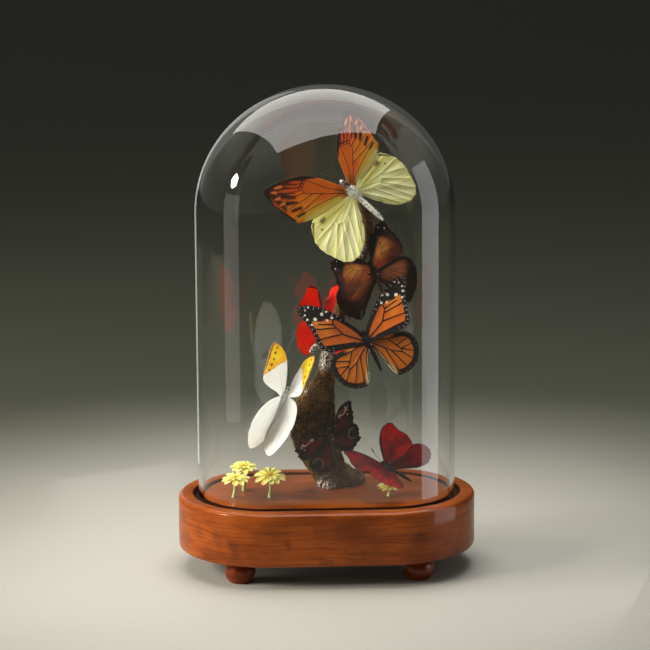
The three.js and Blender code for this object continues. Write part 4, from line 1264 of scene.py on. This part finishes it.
def furMaterial(name, fur, fleck):
    material, tree, shader = surface(name, **{
        "Roughness": 0.8, "Sheen Weight": 0.05, "Specular IOR Level": 0.12, "Subsurface Weight": 0.5,
        "Subsurface Scale": 0.001, "Subsurface Radius": (1.0, 1.0, 1.0)})
    place = objectPlace(tree)
    patch = speckle(tree, place, 0.5, 2.0, 0.6)
    fine = speckle(tree, place, 2.5, 2.0)
    colour = wash(tree, fur, fleck, patch, 0.58, 0.66)
    paint(tree, shader, wash(tree, colour, fleck, fine, 0.5, 0.75, 0.0, 0.16))
    relief(tree, shader, fine, 0.5, 0.0003)
    return material


def pinMaterial():
    material, tree, shader = surface("pinSteel", Metallic=1.0, Roughness=0.3)
    tone = speckle(tree, objectPlace(tree), 0.9, 2.0)
    colour = blendColour(tree, tone, hue(150, 146, 140), hue(196, 194, 190))
    paint(tree, shader, colour, span(tree, tone, 0.3, 0.7, 0.22, 0.4))
    return material


steel = pinMaterial()
shell = {"scale": 1.8, "grain": 0.55, "bump": (0.25, 0.0001)}
horn = twoTone("horn", hue(62, 48, 40), hue(30, 22, 20), rough=0.45, **shell)
eyeDark = twoTone("insectEye", hue(36, 24, 22), hue(14, 10, 12), rough=0.18, **shell)


insect = {
    # the head and thorax: shares of the head's reach and radii, then distances and radii
    "front": [(1, 0.15), (0.95, 0.9), (0.84, 1.45), (0.7, 1.5), (0.6, 1.05), (0.52, 1.2), (0.38, 2.2),
              (0.15, 2.75)],
    "thorax": [(1.2, 2.8), (3.2, 2.3), (4.6, 1.4)],
    "segments": 9, "sides": 14, "eye": (0.8, 0.8, 0.8), "legs": (-2.4, -0.4, 1.8), "hairWidth": 0.17,
    "antennaRadii": [0.2, 0.16, 0.15, 0.15, 0.16, 0.18, 0.42, 0.5, 0.2],
    "legRadii": [0.42, 0.34, 0.2, 0.24, 0.16],
}


def bodyOutline(nose, end):
    # distances down the body and the radius at each
    outline = [(nose * share, radius) for share, radius in insect["front"]] + insect["thorax"]
    segments = insect["segments"]
    for k in range(segments):
        share = k / (segments - 1)
        swell = (1.95 * math.sin(math.pi * (0.2 + 0.62 * share)) ** 0.7) * (1 - 0.4 * share)
        down = 5.2 + (end - 5.8) * share
        outline += [(down, swell * 0.9), (down + (end - 5.8) / segments * 0.55, swell)]
    return outline + [(end, 0.3)]


def makeButterfly(name, data):
    dice = random.Random(name)
    at = Vector(data["at"])
    tail = Vector(data["tail"]).normalized()
    back = Vector(data["back"])
    back = (back - tail * back.dot(tail)).normalized()
    right = back.cross(tail)

    def spot(across, down, up):
        return at + right * across + tail * down + back * up

    aside, ahead, behind = data["roots"]
    shape = Shape()
    layers = {"plan": [], "rim": []}
    roots = (("fore", 0, 1, -ahead), ("fore", 0, -1, -ahead), ("hind", 1, 1, behind), ("hind", 1, -1, behind))
    for (wing, slot, side, down), (*turn, size) in zip(roots, data["spread"]):
        addWing(shape, layers, data[wing], slot, side, spot(side * aside, down, 0), turn, size)
    scales = [wingMaterial(f"{name}_{wing}", data[wing]) for wing in ("fore", "hind")]
    wings = shape.make(f"{name}_wings", scales, 180)
    for key, values in layers.items():
        keepValues(wings.data, key, values)
    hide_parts(name)
    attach(wings, "root")

    body = Shape()
    nose, end, girth = -data["head"], data["end"], data["girth"]
    outline = bodyOutline(nose, end)
    loops = []
    for down, radius in outline:
        droop = -0.012 * max(down - 4, 0) ** 1.6
        loops.append([spot(radius * girth * math.cos(turn), down, radius * girth * math.sin(turn) + droop)
                      for turn in turns(insect["sides"])])
    body.add(*skin(loops), 0)
    reach = data["antenna"]
    for side in (-1, 1):
        eye, faces = ball((0, 0, 0), insect["eye"])
        body.add([spot(side * 1.15 * girth, nose * 0.8, 0.5) + p for p in eye], faces, 2)
        feeler = [spot(side * 0.5, nose + 0.8, 0.5), spot(side * reach * 0.16, nose - reach * 0.42, 1.4),
                  spot(side * reach * 0.42, nose - reach * 0.9, 1.8)]
        body.add(*tube(feeler, insect["antennaRadii"], 6, 18), 1)
        for along in insect["legs"]:
            leg = [spot(side * 0.6, along, -1.2), spot(side * 3.6, along * 1.9, -3.2),
                   spot(side * 4.4, along * 2.6, -4.4), spot(side * 3.6, along * 3.2, -7.6)]
            body.add(*tube(leg, insect["legRadii"], 5, 12), 1)
    tongue = [spot(0, nose + 0.3, -0.7), spot(0, nose - 0.9, -1.3), spot(0, nose - 0.3, -2.2),
              spot(0, nose + 0.5, -1.7)]
    body.add(*tube(tongue, [0.16, 0.14, 0.12], 5, 12), 1)
    downs, radii = zip(*outline)
    for _ in range(data["hairs"]):
        down = dice.uniform(nose * 0.9, 5.5) if dice.random() < 0.8 else dice.uniform(5, end - 2)
        turn = dice.uniform(0, 2 * math.pi)
        radius = float(np.interp(down, downs, radii)) * girth
        length = data["hairLength"] * dice.uniform(0.5, 1.1) * (1 if down < 5 else 0.45)
        out = right * math.cos(turn) + back * math.sin(turn)
        start = spot(0, down, 0) + out * radius * 0.9
        lean = (out + tail * dice.uniform(0.1, 0.9) + right * dice.uniform(-0.4, 0.4)).normalized()
        wide = lean.orthogonal().normalized() * insect["hairWidth"]
        share = 0.75 if data.get("darkHead") and down < nose * 0.42 else data.get("speckled", 0)
        dark = 1 if dice.random() < share else 0
        body.add(threeRound(start, wide, lean.cross(wide)) + [start + lean * length],
                 [(0, 1, 3), (1, 2, 3), (2, 0, 3), (2, 1, 0)], dark)
    fur = furMaterial(f"{name}_fur", data["fur"], data["fleck"])
    piece = body.make(f"{name}_body", [fur, horn, eyeDark], 60)
    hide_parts(name)
    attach(piece, "root")

    pin = Shape()
    tip = Vector(data["pinTo"])
    top = at + (at - tip).normalized() * 4 * girth
    pin.add(*tube([top, (top + tip) / 2, tip], [0.3, 0.3, 0.3], 8, 6))
    pin.add(*ball(top, (0.5, 0.5, 0.5)))
    piece = pin.make(f"{name}_pin", [steel])
    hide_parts(name)
    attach(piece, "root")


for name, data in butterflies.items():
    makeButterfly(name, data)
print("butterflies made")


# ---- flowers

flowers = [
    {"foot": (-65.4, -14.5), "head": (-64.2, -14.8, 67), "radius": 10.6, "lean": 9, "turn": 0.1},
    {"foot": (-58.2, 1.5), "head": (-58.4, 5, 70.4), "radius": 10.2, "lean": 9, "turn": 0.5},
    {"foot": (-40.3, -16.2), "head": (-40.2, -16.4, 69), "radius": 11.5, "lean": 19, "turn": 0.25},
    {"foot": (42.3, -18.6), "head": (42.2, -18, 60.4), "radius": 8.5, "lean": 6, "turn": 0.4},
]
bloom = {
    "layers": [(11, 1.0, 0.0, 0.1), (8, 0.68, 0.7, 0.36)],      # petals, share of the reach, height, tilt
    "rows": 10, "across": 6, "root": 1.4,
    "florets": 60, "floretTurn": 2.39996,
    "dome": [(1.6, -1.4), (2.1, -0.6), (2.2, 0.4), (1.9, 1.2), (1.2, 1.7), (0.4, 1.85)],
    "petal": hue(255, 249, 136), "petalBase": hue(244, 214, 54), "heart": hue(236, 200, 54),
    "heartDark": hue(196, 158, 36), "stem": hue(212, 216, 140), "stemDark": hue(150, 162, 76),
}


def petalMaterial():
    material, tree, shader = surface("petal", **{
        "Roughness": 0.6, "Sheen Weight": 0.2, "Specular IOR Level": 0.3, "Subsurface Weight": 0.5,
        "Subsurface Scale": 0.001, "Subsurface Radius": (1.0, 1.0, 0.6)})
    spot = stored(tree, "petal")
    lines = speckle(tree, spot, 3.0, 2.0, stretch=(0.5, 5.0, 1.0))
    colour = wash(tree, bloom["petalBase"], bloom["petal"], parted(tree, spot)[0], 0.15, 0.6)
    paint(tree, shader, wash(tree, colour, bloom["petalBase"], lines, 0.5, 0.75, 0.0, 0.35))
    relief(tree, shader, lines, 0.4, 0.0002)
    return material


def petalFaces(rows, across):
    # the upper and the lower side of a petal and the strip round its edge
    row = across + 1
    sheet = (rows + 1) * row
    faces = []
    for i in range(rows):
        for j in range(across):
            a = i * row + j
            faces.append((a, a + row, a + row + 1, a + 1))
            faces.append((a + sheet, a + sheet + 1, a + sheet + row + 1, a + sheet + row))
    ring = list(range(across + 1)) + [i * row + across for i in range(1, rows + 1)]
    ring += [rows * row + j for j in range(across - 1, -1, -1)] + [i * row for i in range(rows - 1, 0, -1)]
    return faces + [(a, b, b + sheet, a + sheet) for a, b in zip(ring, ring[1:] + ring[:1])]


def petalPoints(reach, slope, droop, wide, lift, turn):
    # points of both sides, and for each the shares along and across the petal
    points, shares = [], []
    rows, across = bloom["rows"], bloom["across"]
    for side in (1, -1):
        for i in range(rows + 1):
            t = i / rows
            x = bloom["root"] + (reach - bloom["root"]) * t
            taper = math.sqrt(max(1 - max(t - 0.62, 0) ** 2 / 0.15, 0.02))
            half = wide * (0.3 + 0.75 * t ** 0.8) * taper
            for j in range(across + 1):
                s = j / across * 2 - 1
                y = s * half
                z = lift + 0.45 * s * s * half - droop * x * x + slope * x * 0.5 + 0.3 + side * 0.11
                points.append(Vector((x * math.cos(turn) - y * math.sin(turn),
                                      x * math.sin(turn) + y * math.cos(turn), z)))
                shares.append((t, s * 0.5))
    return points, shares


def makeFlowers():
    petal = petalMaterial()
    heart = twoTone("flowerHeart", bloom["heart"], bloom["heartDark"], 1.4)
    green = twoTone("stemGreen", bloom["stem"], bloom["stemDark"], 0.5, 0.5, (1, 1, 0.2))
    faces = petalFaces(bloom["rows"], bloom["across"])
    for number, flower in enumerate(flowers, 1):
        dice = random.Random(number)
        place = Matrix.Translation(flower["head"]) @ Matrix.Rotation(math.radians(flower["lean"]), 4, "X")
        head = Shape()
        marks = []
        for layer, (petals, share, lift, tilt) in enumerate(bloom["layers"]):
            for k in range(petals):
                turn = 2 * math.pi * (k + flower["turn"] + 0.5 * layer + dice.uniform(-0.16, 0.16)) / petals
                reach = flower["radius"] * share * dice.uniform(0.86, 1.0)
                slope = tilt + dice.uniform(-0.1, 0.2)
                droop = dice.uniform(0.004, 0.02)
                wide = reach * 0.225 * dice.uniform(0.85, 1.1) / share ** 0.4
                points, shares = petalPoints(reach, slope, droop, wide, lift, turn)
                head.add([place @ point for point in points], faces, 0)
                marks += [(t, s, k + 20 * layer) for t, s in shares]
        points, domeFaces = lathe(bloom["dome"], 20)
        head.add([place @ Vector(p) for p in points], domeFaces, 1)
        for k in range(bloom["florets"]):
            away, turn = 2.0 * math.sqrt((k + 0.5) / bloom["florets"]), k * bloom["floretTurn"]
            centre = (away * math.cos(turn), away * math.sin(turn), 1.8 - 0.2 * away * away)
            floret, floretFaces = ball(centre, (0.3, 0.3, 0.42), 6)
            head.add([place @ p for p in floret], floretFaces, 1)
        marks += [(0.0, 0.0, 0.0)] * (len(head.points) - len(marks))
        piece = head.make(f"petals_{number}", [petal, heart], 60)
        keepValues(piece.data, "petal", marks)
        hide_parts(f"flower_head_{number}")
        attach(piece, "root")
        stem = Shape()
        x, y, z = flower["head"]
        fx, fy = flower["foot"]
        low = floorHeight + 0.05
        path = [(fx, fy, low), ((fx + x) / 2 + 0.6, (fy + y) / 2, (low + z) / 2), (x, y, z - 0.9)]
        stem.add(*tube(path, [1.6, 1.3, 1.2, 1.3, 1.9], 12, 16))
        piece = stem.make(f"green_stem_{number}", [green])
        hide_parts(f"flower_stem_{number}")
        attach(piece, "root")


makeFlowers()
print("flowers made")
